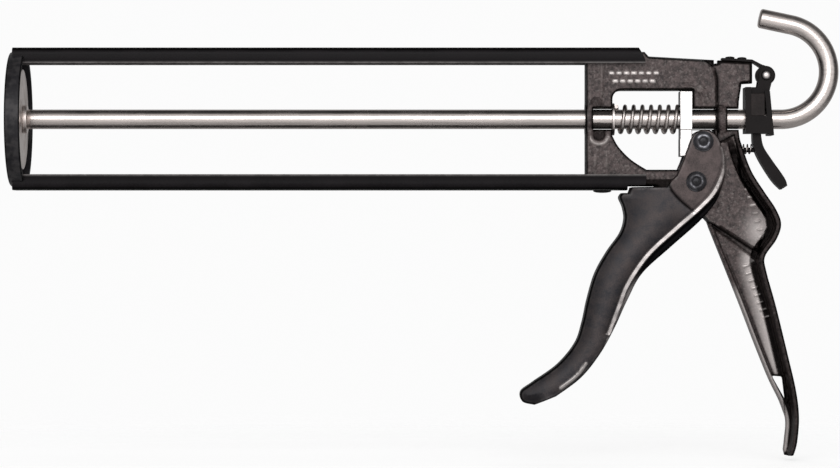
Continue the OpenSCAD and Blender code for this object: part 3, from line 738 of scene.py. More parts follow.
def make_finishes(colours, sizes):
    """Every finish of the gun, by name."""
    groups = {"grain": make_grain_group(), "wear": make_wear_group(), "dust": make_dust_group(),
              "streaks": make_streak_group()}
    rail, cap, cast = tuple(colours.rail), tuple(colours.cap), tuple(colours.cast)
    trigger, zinc, black = tuple(colours.trigger), tuple(colours.zinc), tuple(colours.black)

    def shade(c, k):
        return tuple(k * v for v in c)

    FINISHES.update({
        "rail": painted("rail_black", groups, shade(rail, 1.4), shade(rail, 0.6), (0.16, 0.15, 0.15),
                        0.38, 60.0, 1500.0, 1.2e-5, wear=0.6, dust=0.03, specular=0.07),
        "cap": painted("cap_grey", groups, shade(cap, 1.2), shade(cap, 0.8), (0.12, 0.11, 0.11),
                       0.36, 110.0, 1300.0, 1.5e-5, wear=0.4, dust=0.05, specular=0.15),
        "cast": painted("cast_paint", groups, shade(cast, 2.6), shade(cast, 0.12), (0.46, 0.41, 0.39),
                        0.45, 420.0, 1500.0, sizes.grain * METRES, wear=0.75, metallic=0.12,
                        dust=0.05, specular=0.22, specks=0.2),
        "trigger": painted("trigger_paint", groups, shade(trigger, 1.9), (0.026, 0.027, 0.033),
                           (0.62, 0.60, 0.59), 0.42, 170.0, 1500.0, 1.6e-5, wear=0.5, metallic=0.15,
                           dust=0.04, specular=0.2, tint=cast),
        "rivet": painted("rivet_dark", groups, shade(cap, 1.8), shade(cap, 1.0), (0.34, 0.34, 0.37),
                         0.34, 200.0, 1500.0, 1.5e-5, wear=0.8, metallic=0.5, dust=0.05),
        "catch": painted("catch_black", groups, shade(black, 1.3), shade(black, 0.7), (0.16, 0.14, 0.13),
                         0.42, 150.0, 1400.0, 1.8e-5, wear=0.6, dust=0.03, specular=0.06),
        "block": painted("block_grey", groups, shade(trigger, 0.8), shade(trigger, 0.3),
                         (0.16, 0.14, 0.13), 0.5, 300.0, 1400.0, 1.8e-5, dust=0.03, specular=0.1),
        "zinc": plated("zinc_steel", groups, zinc, shade(zinc, 0.82), 0.2, (0.03, 1.0, 1.0)),
        "zinc_face": plated("zinc_face", groups, shade(zinc, 1.1), shade(zinc, 0.98), 0.34,
                            (1.0, 1.0, 0.12)),
        "plate": plated("plate_zinc", groups, (0.93, 0.90, 0.89), (0.86, 0.83, 0.82), 0.34,
                        (1.0, 1.0, 0.12), stain=(0.5, 0.45, 0.42), shaded_ends=True),
        "spring": plated("spring_steel", groups, shade(zinc, 0.8), shade(zinc, 0.45), 0.27,
                         (1.0, 1.0, 1.0)),
    })


# ---- Rails and cap ----

def rail_section(width, depth, wall, radius):
    """Closed section of a rail in (y, z), with z from its flanges' edges: a rounded channel. Points
    near both ends of each flat side keep its shading flat."""
    w = width / 2
    flat = np.array([0, 0.9, depth - radius - 0.6])
    outer = np.vstack([[(-w, z) for z in flat], arc((-w + radius, depth - radius), radius, 180, 90, 6),
                       arc((w - radius, depth - radius), radius, 90, 0, 6), [(w, z) for z in flat[::-1]]])
    inner_r = radius - wall
    w_in = w - wall
    inner = np.vstack([[(w_in, z) for z in flat], arc((w - radius, depth - radius), inner_r, 0, 90, 5),
                       arc((-w + radius, depth - radius), inner_r, 90, 180, 5),
                       [(-w_in, z) for z in flat[::-1]]])
    return np.vstack([outer, inner])


def rail_mesh(x0, x1, sign, end_slope):
    """The section carried along X from x0 to x1 - slope k(z), where k grows towards the rail's back.
    Sign +1 is the upper rail and -1 the lower one."""
    section = rail_section(RAIL_HIGH[1] - RAIL_LOW[1], RAIL_DEPTH, RAIL_WALL, RAIL_CORNER)
    section = softened(section, 0.42, 3)
    high = section[:, 1] / RAIL_DEPTH
    span = x1 - x0
    u = np.concatenate([[0, 0.4, 1.5, 4], np.linspace(8, span - 16, 40),
                        span - np.array([9, 5, 2, 0.8, 0.25, 0])])
    rear = end_slope * np.clip((high - 0.26) / 0.74, 0, 1)
    x = x0 + u[:, None] - rear * ramp(u / span, 0.88, 1)[:, None]
    y = np.broadcast_to(section[:, 0], x.shape)
    z = np.broadcast_to(sign * (RAIL_OUT - RAIL_DEPTH + section[:, 1]), x.shape)
    points = np.stack([x, y, z], -1)
    n = len(section)
    faces = grid_faces(len(u), n)
    edge = np.broadcast_to(bump(section[:, 1], 0.5), x.shape).copy()
    edge[[0, -1]] = 0.6
    # Painted shade on the rounded back and in a line inside the flanges' edges, and a painted highlight along
    # the flanges' edges
    shade = np.broadcast_to(0.8 * ramp(high, 0.76, 0.92) + 0.7 * bump(section[:, 1] - 1.6, 0.6), x.shape)
    bare_and_highlight = np.broadcast_to(0.16 * bump(section[:, 1], 0.6), x.shape)
    # The ends are closed between the outer and inner half of the section
    last = (len(u) - 1) * n
    k = np.arange(n // 2 - 1)
    caps = np.stack([k, n - 1 - k, n - 2 - k, k + 1], 1)
    faces += caps.tolist() + (caps[:, ::-1] + last).tolist()
    masks = {"edge": edge.ravel(), "shade": shade.ravel(), "bare_and_highlight": bare_and_highlight.ravel()}
    return points.reshape(-1, 3), faces, masks


def build_rails():
    """Upper and lower rail."""
    rails = (("upper_rail", "top_rail", 1, 3.0), ("lower_rail", "bottom_rail", -1, 1.0))
    for name, node, sign, slope in rails:
        low, high = corners(node)
        points, faces, masks = rail_mesh(low[0], high[0], sign, slope)
        piece = finish_mesh(name, points, faces, 40, masks)
        if sign < 0:
            # Its back stops ahead of the trigger, and only its flanges run on
            cutter = block((RAIL_BACK_END, -20, -RAIL_OUT - 1), (high[0] + 1, 20, 0.5 - RAIL_IN))
            cut_with(piece, *cutter, 40)
        place(piece, "frame", "rail_black", FINISHES["rail"], node)


def build_cap():
    """Round front cap with a rolled front edge, tabs under the rails and notches for their flanges."""
    wall, hole = 1.8, 12.0
    depth = 7.0
    r = RAIL_IN
    profile = softened([(0, hole), (0, r), (depth, r), (depth, r - wall), (wall, r - wall), (wall, hole)],
                       0.9, 5)
    points, faces = turned(profile, (0, 0, 0), ALONG, 128, closed=True)
    along = np.repeat(profile[:, 0], 128)
    radial = np.repeat(profile[:, 1], 128)
    edge = np.maximum(bump(np.hypot(along - depth, radial - r), 1.2), bump(np.hypot(along, radial - r), 1.6))
    both_ends = np.maximum(ramp(1.1 - along, 0, 0.6), ramp(along - depth + 0.9, 0, 0.5))
    rim_shade = 0.75 * (radial > r - 0.6) * both_ends
    cap = finish_mesh("cap_cup", points, faces, 40, {"edge": edge, "shade": rim_shade})
    half_y, half_z, gap = 0.9, RAIL_DEPTH / 2, 0.3
    flange_y, flange_z = RAIL_HIGH[1] - half_y, RAIL_OUT - half_z
    notches = [block((1.4, s * flange_y - half_y - gap, t * flange_z - half_z - gap),
                     (depth + 1, s * flange_y + half_y + gap, t * flange_z + half_z + gap))
               for s in (-1, 1) for t in (-1, 1)]
    cut_with(cap, *joined(notches), sharp=35)
    place(cap, "frame", "cap_grey", FINISHES["cap"], "front_cap")
    tab_end = CAP_HIGH[0]
    loop = softened([(depth - 1.6, -7), (depth - 1.6, 7), (tab_end, 7), (tab_end, -7)], 2.2, 5)
    # Heights of each tab's layers, and how far its outline is drawn in there to round its edges
    outer = r - 0.02
    layers = [(outer - wall, 0.94), (outer - wall + 0.15, 0.985), (outer - wall + 0.4, 1.0),
              (outer - 0.4, 1.0), (outer - 0.15, 0.985), (outer, 0.94)]
    centre = loop.mean(0)
    parts = []
    for s in (-1, 1):
        rows = np.stack([np.column_stack([*(centre + (loop - centre) * k).T, np.full(len(loop), s * h)])
                         for h, k in layers])
        n = len(loop)
        faces = grid_faces(len(layers), n)
        faces.append(list(range(n)))
        faces.append([(len(layers) - 1) * n + k for k in range(n)][::-1])
        parts.append((rows.reshape(-1, 3), faces))
    points, faces = joined(parts)
    tabs = finish_mesh("cap_tabs", points, faces, 40)
    place(tabs, "frame", "cap_grey", FINISHES["cap"])


def ring_profile(start, end, inner_r, outer_r, soften):
    """The closed (a, r) profile of a flat ring, with softened edges."""
    square = [(start, inner_r), (start, outer_r), (end, outer_r), (end, inner_r)]
    return softened(square, soften, 3)


def domed(head_r, head_t, shank_r, length):
    """A rivet's (a, r) profile from its shank's end at -length to the top of its domed head."""
    angles = np.linspace(0, np.pi / 2, 9)
    dome = np.stack([head_t * (0.3 + 0.7 * np.sin(angles)), head_r * np.cos(angles)], 1)
    return np.vstack([[(-length, 0), (-length, shank_r), (0, shank_r), (0, head_r * 0.96)], dome])


def flush(sink, shank_r, length, tail_r=0.0, tail_t=0.0):
    """The (a, r) profile of a rivet whose cone-shaped head ends level with the rail's back. Its tail
    may be spread into a disc."""
    head = [(-sink, shank_r), (-0.05, shank_r + sink), (0.04, shank_r + sink - 0.1), (0.05, 0)]
    tail = [(-length, 0), (-length, shank_r)]
    if tail_r:
        tail = [(-length - tail_t, 0), (-length - tail_t, tail_r * 0.85), (-length - tail_t * 0.6, tail_r),
                (-length, tail_r), (-length, shank_r)]
    return tail + head


RIVET_SINK = 1.2
RIVET_SHANK_R = 2.0
RIVET_LENGTH = 6.6
RIVET_HEAD_R, RIVET_HEAD_T = 4.2, 1.2
RIVET_TAIL_R, RIVET_TAIL_T = 3.0, 0.8


def build_rivets():
    """Rivets through the rails, into the cap's tabs and the housing."""
    at_back = np.array([0, 0, RAIL_OUT])
    low, high = corners("cap_rivets")
    profile = flush(RIVET_SINK, RIVET_SHANK_R, 2 * RAIL_WALL, RIVET_TAIL_R, RIVET_TAIL_T)
    upper = turned(profile, at_back + ((low[0] + high[0]) / 2, 0, 0), UP)
    piece = finish_mesh("cap_rivet_heads", *joined([upper, mirrored(upper)]), 50)
    place(piece, "frame", "rivet_dark", FINISHES["rail"], "cap_rivets")
    low, high = corners("rail_rivets")
    profile = flush(RIVET_SINK, RIVET_SHANK_R, RIVET_LENGTH)
    first, last = low[0] + RIVET_HEAD_R, high[0] - RIVET_SINK - RIVET_SHANK_R
    parts = [turned(profile, at_back + (x, 0, 0), UP) for x in (first, last)]
    head = domed(RIVET_HEAD_R, RIVET_HEAD_T, RIVET_SHANK_R, RIVET_LENGTH)
    parts.append(mirrored(turned(head, at_back + (first, 0, 0), UP)))
    piece = finish_mesh("housing_rivet_heads", *joined(parts), 50)
    place(piece, "frame", "rivet_dark", FINISHES["rail"], "rail_rivets")


def mirrored(part):
    """A part turned over to the underside of the gun."""
    points, faces = part
    return points * (1, 1, -1), [face[::-1] for face in faces]


# ---- Rod and piston ----

def build_rod():
    """Push rod with its stepped end and its hook: a straight run, a bend and a short straight tail."""
    step_x = PISTON_HIGH[0] + 2
    hook_x = HOUSE_END + 13.5
    radius, bend = 22.0, math.radians(168)
    x_start = ROD_LOW[0]
    straight_x = np.concatenate([[x_start, x_start, x_start + 0.25, x_start + 0.6],
                                 [step_x, step_x, step_x + 0.3],
                                 np.linspace(step_x + 2, hook_x - 1, 60)])
    straight_r = np.concatenate([[0, 2.7, 2.95, 3.0], [3.0, ROD_R - 0.3, ROD_R],
                                 np.full(60, ROD_R)])
    straight = np.stack([straight_x, np.zeros(len(straight_x))], 1)
    a = np.linspace(0, bend, 90)
    curve = np.stack([hook_x + radius * np.sin(a), radius - radius * np.cos(a)], 1)
    way = np.array([math.cos(bend), math.sin(bend)])
    end = curve[-1]
    run = np.array([3, 8, 13.0, 14.0, 14.6, 14.9, 15.0, 15.0])
    tail = end + run[:, None] * way
    tail_r = np.array([ROD_R, ROD_R, ROD_R, ROD_R, ROD_R - 0.35, ROD_R - 0.8, ROD_R - 1.4, 0])
    path = np.vstack([straight, curve, tail])
    size = np.concatenate([straight_r, np.full(len(a), ROD_R), tail_r])
    # Repeated points would leave the path without a direction, so they are moved apart a little
    path[:, 0] += 1e-5 * np.arange(len(path)) * np.where(np.arange(len(path)) < len(straight), 1, 0)
    path[len(straight) + len(a):] += way * 1e-5 * np.arange(len(tail))[:, None]
    points, faces = tube(path, size, 48)
    piece = finish_mesh("hooked_rod", points, faces, 50)
    place(piece, "rod", "zinc_steel", FINISHES["zinc"], "push_rod")


def build_piston():
    """Piston plate, pressed with a rim and a shallow ring, and its washer."""
    x0, x1 = PISTON_LOW[0], PISTON_HIGH[0]
    r, wall = PISTON_HIGH[1], 1.5
    neck = 3.1
    back = [(x1 - wall, neck), (x1 - wall, r - wall), (x0, r - wall), (x0, r), (x1, r), (x1, r * 0.66),
            (x1 - 0.5, r * 0.62), (x1 - 0.5, r * 0.44), (x1, r * 0.4), (x1, neck)]
    profile = softened(back, 0.8, 4)
    points, faces = turned(profile, (0, 0, 0), ALONG, 96, closed=True)
    piece = finish_mesh("piston_disc", points, faces, 45)
    place(piece, "piston", "zinc_steel", FINISHES["zinc_face"], "piston_plate")
    low, high = corners("piston_washer")
    points, faces = turned(ring_profile(low[0], high[0], 3.02, high[1], 0.3), (0, 0, 0), ALONG, 64,
                           closed=True)
    piece = finish_mesh("piston_washer_ring", points, faces, 45)
    place(piece, bodies_of("piston_washer"), "zinc_steel", FINISHES["zinc_face"], "piston_washer")
    dress_node("piston_nut", FINISHES["zinc"], 0.15)


def bodies_of(node):
    """The body that a CAD node rides on."""
    return frame["nodes"][node]["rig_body"]


# ---- Housing and grip ----

def from_pivot(points):
    """Offsets from the trigger's pivot as places."""
    return PIVOT + np.asarray(points, float)


GRIP_TOP = np.array([NECK_X, -3.1])
GRIP_BACK = smooth_curve(np.vstack([
    [GRIP_TOP, GRIP_TOP + (1.3, -9)],
    from_pivot([(25.3, 5), (31.2, -4.5), (36.6, -12.6), (39, -19.5), (36.8, -26.6), (31.6, -34.4),
                (32.3, -41.5), (36.6, -57.1), (42, -79.2), (45.8, -95.7), (47.2, -108), (46.4, -119),
                (45.2, -124)])]))
GRIP_FRONT = smooth_curve(from_pivot([
    (5.4, -18.4), (14.3, -40.5), (20.9, -57.1), (27.2, -73.6), (33.9, -90.2), (39.2, -101.2),
    (41.7, -109.5), (41.2, -118), (40.6, -123)]))
GRIP_TIP = from_pivot([(41.2, -125.6), (43, -126), (44.6, -125.5)])
RAIL_TAIL = RAIL_HIGH[0]
TOP_EDGE = np.array([(HOUSE_X, -RAIL_IN), (HOUSE_X, RAIL_IN), (RAIL_TAIL, RAIL_IN),
                     (RAIL_TAIL + 1.9, RAIL_IN - 2.1)])
REAR_EDGE = np.array([(HOUSE_END, BLOCK_TOP), (HOUSE_END, HINGE[1] - 3.6), (HOUSE_END - 4.9, HINGE[1] - 3.9),
                      (HOUSE_END - 6.2, HINGE[1] - 12)])
UNDER_CHEEKS = np.vstack([from_pivot([(-2, -10.5), (-11, -6.2)]), [(PIVOT[0] - 18.9, -RAIL_IN)]])
CAST_OUTLINE = np.vstack([TOP_EDGE, REAR_EDGE, GRIP_BACK, GRIP_TIP[::-1], GRIP_FRONT[::-1], UNDER_CHEEKS])
BODY_OUTLINE = np.vstack([
    TOP_EDGE, arc((BLOCK_FRONT - 10, RAIL_IN - 13.4), 10, 90, 0), [(BLOCK_FRONT, -11)], [GRIP_TOP + (-2, -4)],
    from_pivot([(22, 2), (33, -14), (34, -21), (29, -33), (6, -18.4)]), UNDER_CHEEKS])
SLEEVE_ROOM = SLEEVE_R + 0.6
WINDOW = np.vstack([
    arc((WINDOW_X + 4, WINDOW_TOP - 4), 4, 180, 90, 6),
    [(WINDOW_END, WINDOW_TOP), (WINDOW_END, -ROD_R - 0.4), (DRIVE[0] + SLEEVE_ROOM, -ROD_R - 0.4)],
    arc(DRIVE, SLEEVE_ROOM, 0, -80), [(PIVOT[0] - 8, WINDOW_FLOOR)],
    smooth_curve([(WINDOW_X + 15.6, WINDOW_FLOOR), (WINDOW_X + 8.6, WINDOW_FLOOR + 4.5),
                  (WINDOW_X + 2.9, WINDOW_FLOOR + 10.3), (WINDOW_X, -SPRING_HIGH[1] - 1)], 6)])
SLOT_HALF = ROD_R + 0.35
FRONT_SLOT = np.array([(HOUSE_X + 3.6, -SLOT_HALF), (WINDOW_X + 1, -SLOT_HALF), (WINDOW_X + 1, SLOT_HALF),
                       (HOUSE_X + 3.6, SLOT_HALF)])
MIDDLE_SLOT = np.array([(WINDOW_END - 1, -SLOT_HALF), (BLOCK_FRONT - 1, -SLOT_HALF),
                        (BLOCK_FRONT - 1, SLOT_HALF), (WINDOW_END - 1, SLOT_HALF)])
REAR_SLOT = np.array([(BLOCK_FRONT + 4.6, -SLOT_HALF), (HOUSE_END + 5, -SLOT_HALF),
                      (HOUSE_END + 5, SLOT_HALF), (BLOCK_FRONT + 4.6, SLOT_HALF)])
HANG_HOLE = softened(from_pivot([(35.3, -89.2), (40.1, -89.6), (41.4, -100)]), 1.0, 3)
TOP_NOTCH = np.array([(BLOCK_FRONT - 1.9, 40), (BLOCK_FRONT - 1.6, RAIL_IN - 5.4),
                      (BLOCK_FRONT + 0.2, RAIL_IN - 5.2), (BLOCK_FRONT + 0.8, 40)])
# Lugs on the casting: centre, radius, rise and how dark they are
LUGS = ((np.array([HOUSE_X + 5.0, 7.4]), 3.0, 0.5, 0.6), (np.array([HOUSE_X + 6.2, -7.2]), 3.1, 0.9, 0.8),
        (from_pivot((8.6, -10.2)), 2.2, 0.7, 0.0), (np.array([HOUSE_END - 5.2, 8.2]), 2.6, 0.9, 0.3))
HOLES = [WINDOW, FRONT_SLOT, MIDDLE_SLOT, REAR_SLOT, HANG_HOLE, TOP_NOTCH]
# Pocket in the neck's back for the catch's spring, and its boss
POCKET_Z = sum(corners("catch_spring"))[2] / 2 + 0.4
POCKET_R, POCKET_BOSS = 3.1, 4.6
# Width of the strap down the grip's back, as seen from the side
STRAP = 2.6
RECESS = np.vstack([
    from_pivot([(8, -20.5), (31, -37)]),
    GRIP_BACK[(GRIP_BACK[:, 1] < PIVOT[1] - 38) & (GRIP_BACK[:, 1] > PIVOT[1] - 112)] - (4.6, 0),
    GRIP_FRONT[(GRIP_FRONT[:, 1] < PIVOT[1] - 20) & (GRIP_FRONT[:, 1] > PIVOT[1] - 106)][::-1] + (1.4, 0)])


def bars(p, centres, direction, half_length, half_width):
    """Raised bars with round ends: 1 where |p - nearest point of the bar| is under half_width, falling
    to 0 over a soft edge."""
    soften = 0.45
    way = np.asarray(direction, float) / np.linalg.norm(direction)
    v = p[:, None, :] - np.asarray(centres, float)
    t = np.clip(v @ way, -half_length, half_length)
    d = np.linalg.norm(v - t[..., None] * way, axis=-1).min(1)
    return ramp(half_width + soften / 2 - d, 0, soften)


def housing_height(p):
    """Half thickness of the casting at each place. It is a web, raised to the body, the rim and the
    back strap, sunk in the grip's recess, with ridges, lugs and plain raised marks, and each edge
    falls away with a fillet."""
    x, z = p.T
    in_body = depth_in(p, BODY_OUTLINE)
    h = 4.0 + (BODY_HALF - 4.0) * ramp(in_body, -0.2, 0.9)
    # Grip: sunk web, front rim and back strap with a channel inside it
    in_recess = depth_in(p, RECESS)
    h = h + (2.5 - h) * ramp(in_recess, -0.3, 1.0)
    front_edge = distance(p, GRIP_FRONT)
    below = ramp(PIVOT[1] - 18 - z, 0, 3)
    h = np.maximum(h, 5.5 * ramp(2.2 - front_edge, 0, 0.8) * below)
    back_edge = distance(p, GRIP_BACK)
    lower = ramp(GRIP_TOP[1] - 5 - z, 0, 6)
    channel = ramp(6.4 - back_edge, 0, 0.8) * ramp(back_edge, STRAP, STRAP + 0.8) * lower
    h = h - channel * np.clip(h - 2.2, 0, 3.4)
    h = h + (9.5 - h) * ramp(STRAP + 0.4 - back_edge, 0, 1.0) * lower
    # Boss round the spring's pocket, and bosses that carry the rod
    boss = np.sqrt(np.clip(POCKET_BOSS ** 2 - (z - POCKET_Z) ** 2, 0, None))
    h = np.maximum(h, boss * ramp(x - NECK_X + POCKET_BOSS, 0, 0.6) * (x < HOUSE_END))
    boss = np.sqrt(np.clip(8.5 ** 2 - z ** 2, 0, None))
    h = np.maximum(h, boss * ramp(HOUSE_X + 3.8 - x, 0, 0.4))
    boss = np.sqrt(np.clip(7.5 ** 2 - z ** 2, 0, None))
    h = np.maximum(h, boss * ramp(2.9 - np.abs(x - BLOCK_FRONT - 1.8), 0, 0.3))
    # Lugs beside the rod at the front, the lug under the trigger's bead, and one on the rear block
    lugs = np.zeros(len(p))
    dark_lugs = np.zeros(len(p))
    for centre, radius, rise, dark in LUGS:
        lug = ramp(radius - np.linalg.norm(p - centre, axis=1), 0, 0.7)
        lugs += rise * lug
        dark_lugs = np.maximum(dark_lugs, dark * lug)
    ring = np.linalg.norm(p - LUGS[1][0], axis=1)
    arch = bump(ring - 4.4, 0.6) * (z < -7.6) * (x > HOUSE_X + 2)
    lugs += 0.55 * arch
    # Ribs down the front post, a line under the upper rail, and ridges round the window's rear corner
    ribs = 0.45 * bump(x - HOUSE_X - 7.4, 0.8) * ramp(z, 9, 11) * ramp(RAIL_IN - z, 1, 3)
    for offset in (4.4, 9.6):
        ribs += 0.4 * bump(x - HOUSE_X - offset, 0.9) * ramp(-z, 13, 15)
    ribs += 0.3 * bump(z - RAIL_IN + 2.0, 0.5) * (x < RAIL_TAIL)
    corner = np.array([WINDOW_END - 2.4, WINDOW_TOP - 5.2])
    radial = np.linalg.norm(p - corner, axis=1)
    turn = np.degrees(np.arctan2(z - corner[1], x - corner[0]))
    round_corner = ramp(turn, -12, 2) * ramp(112 - turn, 0, 14)
    ribs += (0.6 * bump(radial - 6.9, 0.55) + 0.5 * bump(radial - 9.2, 0.55)) * round_corner
    # Plain raised marks
    first = np.array([HOUSE_X + 12.0, 21.0])
    rows = [np.linspace(first, first + (20.4, 0.0), 7),
            np.linspace(first + (1.7, -3.7), first + (18.7, -3.7), 6)]
    marks = bars(p, np.vstack(rows), (1, 0), 0.5, 0.75)
    grip_row = np.linspace(from_pivot((22.8, 0.4)), from_pivot((30.6, -25.5)), 8)
    grip_marks = bars(p, grip_row, (1, 0.15), 0.9, 0.5)
    web_row = np.linspace(from_pivot((23.4, -38.6)), from_pivot((32.8, -62.0)), 8)
    web_marks = bars(p, web_row, (1, 0.3), 1.1, 0.5)
    raised = np.maximum(marks, np.maximum(grip_marks, web_marks))
    h = h + lugs + ribs + 0.45 * raised
    edge_d = np.min([distance(p, loop, closed=True) for loop in (CAST_OUTLINE, *HOLES)], axis=0)
    h = h - fillet(edge_d, 0.8)
    # Masks: worn places, painted shade in the body's step and along the recess's edge, deep painted shade
    # along edges, in the grip's channel, on the strap, under the body, in the front groove and along the top
    # edge, the dark lugs, bare metal on the raised marks, a web lighter towards the bottom, a lighter upper
    # corner and arch, and a painted highlight along the front rim
    under = ramp(-27.3 - z, 0, 0.5) * ramp(PIVOT[0] - 2 - x, 0, 2) * (x > HOUSE_X)
    step = bump(in_body - 0.75, 0.35)
    web = ramp(in_recess, 0.8, 1.8)
    web_lighter = web * ramp(8.5 - back_edge, -4.5, 3.0) * ramp(z, PIVOT[1] - 112, PIVOT[1] - 80)
    corner_lighter = bump(np.linalg.norm((p - from_pivot((28.5, -22.5))) / (5.5, 8.0), axis=1), 1.0)
    edge = np.clip(0.9 * raised + 0.5 * step + 0.5 * ribs + 0.6 * arch, 0, 1)
    hollow = np.clip(0.5 * bump(in_body + 0.5, 0.6) + 0.8 * bump(in_recess - 0.1, 0.5), 0, 1)
    top_line = ramp(1.7 - edge_d, 0, 0.5) * ramp(x - RAIL_TAIL, -1, 0.5) * ramp(z, 14, 15)
    groove = bump(front_edge - 2.7, 0.55) * below * ramp(PIVOT[1] - 30 - z, 0, 4)
    strap = ramp(STRAP + 0.4 - back_edge, 0, 0.5) * lower
    shade = np.max([0.92 * ramp(1.3 - edge_d, 0, 0.5), 0.92 * channel, 0.6 * strap, 0.9 * under,
                    0.8 * groove, 0.92 * bump(in_body, 0.6), 0.95 * top_line, dark_lugs], axis=0)
    front_rim = ramp(1.7 - front_edge, 0, 0.5) * below
    rim_light = 0.4 * front_rim * ramp(PIVOT[1] - 45 - z, 0, 8)
    shade *= 1 - front_rim
    bare_and_highlight = np.max([0.56 * web_lighter, 0.65 * marks, 0.3 * grip_marks, 0.6 * web_marks, 0.42 * corner_lighter,
                     0.35 * arch, rim_light], axis=0)
    bare_and_highlight = np.clip(bare_and_highlight - 0.5 * shade, 0, 1)
    return h, {"edge": edge, "hollow": hollow, "shade": shade, "bare_and_highlight": bare_and_highlight}


def build_housing(spacing):
    """Die-cast housing and grip, in one piece."""
    body_step = BODY_OUTLINE[4:]
    guides = [(body_step, (-0.3, 0.1, 0.5, 0.9, 1.3))]
    points, faces, masks = casting(CAST_OUTLINE, HOLES, housing_height, spacing,
                                   (0.12, 0.35, 0.7, 1.1, 1.7, 2.1, 2.5, 2.9, 3.3, 3.7), guides)
    piece = finish_mesh("housing_casting", points, faces, 42, masks)
    pocket = [(-3, 0), (-3, POCKET_R), (8, POCKET_R), (8, 0)]
    cut_with(piece, *turned(pocket, (NECK_X, 0, POCKET_Z), ALONG, 40))
    place(piece, "frame", "cast_paint", FINISHES["cast"], "housing")


# ---- Trigger ----

TRIGGER_FRONT = smooth_curve(from_pivot([
    (-33.9, -5.2), (-35, -7.4), (-33.3, -11.7), (-32.6, -17.2), (-34.6, -23.7), (-40.6, -32.2),
    (-46.1, -42.2), (-49.7, -54.2), (-52, -64.7), (-55.3, -74.2), (-63.4, -84), (-74.9, -92.2),
    (-80.3, -96.4), (-79.4, -101), (-73.9, -102.5)]))
TRIGGER_REAR_LOW = smooth_curve(from_pivot([
    (-64, -98.5), (-52.4, -89.7), (-43.4, -78.2), (-36.9, -66.2), (-31.4, -54.2), (-24.6, -42),
    (-11.4, -29.8), (1.4, -18.4), (9.4, -8.7), (13.1, 1.8)]))
TRIGGER_HEAD = smooth_curve(DRIVE + np.array([
    (9.5, -6.6), (7.4, 0.8), (3.9, 4.6), (-0.4, 5.4), (-4.7, 2.8), (-7.2, -3.2), (-9.6, -9.6)]))
TRIGGER_REAR = np.vstack([TRIGGER_REAR_LOW, TRIGGER_HEAD])
CHEEK_FOOT = from_pivot([(-8.9, 3), (-11.6, 0.4), (-13.4, -2.3), (-29.6, -2.5), (-30.6, -5.2)])
TRIGGER_OUTLINE = np.vstack([TRIGGER_FRONT, TRIGGER_REAR, CHEEK_FOOT])
BEAD = smooth_curve(from_pivot([
    (12.4, 15.6), (13.2, 8.2), (8.6, -3.9), (1.5, -12.0), (-9.2, -21.4), (-22.2, -33.5),
    (-31.2, -46.7), (-35.4, -57.2), (-39.9, -69.6)]))
CREASE = smooth_curve(from_pivot([(-13.2, 0.6), (-11.6, -3.6), (-7.4, -8.6), (-1.2, -13.8)]))
# The crease carried on past both ends, from below: the finger lies on its left-hand side
FINGER_TOP = np.vstack([from_pivot([(-40, 2.4), (-13.2, 2.4)]), CREASE[4:], from_pivot([(10, -24)])])[::-1]
FOOT_BEAD = smooth_curve(from_pivot([(-50.5, -83.4), (-55.0, -89.2), (-62.0, -94.6)]))


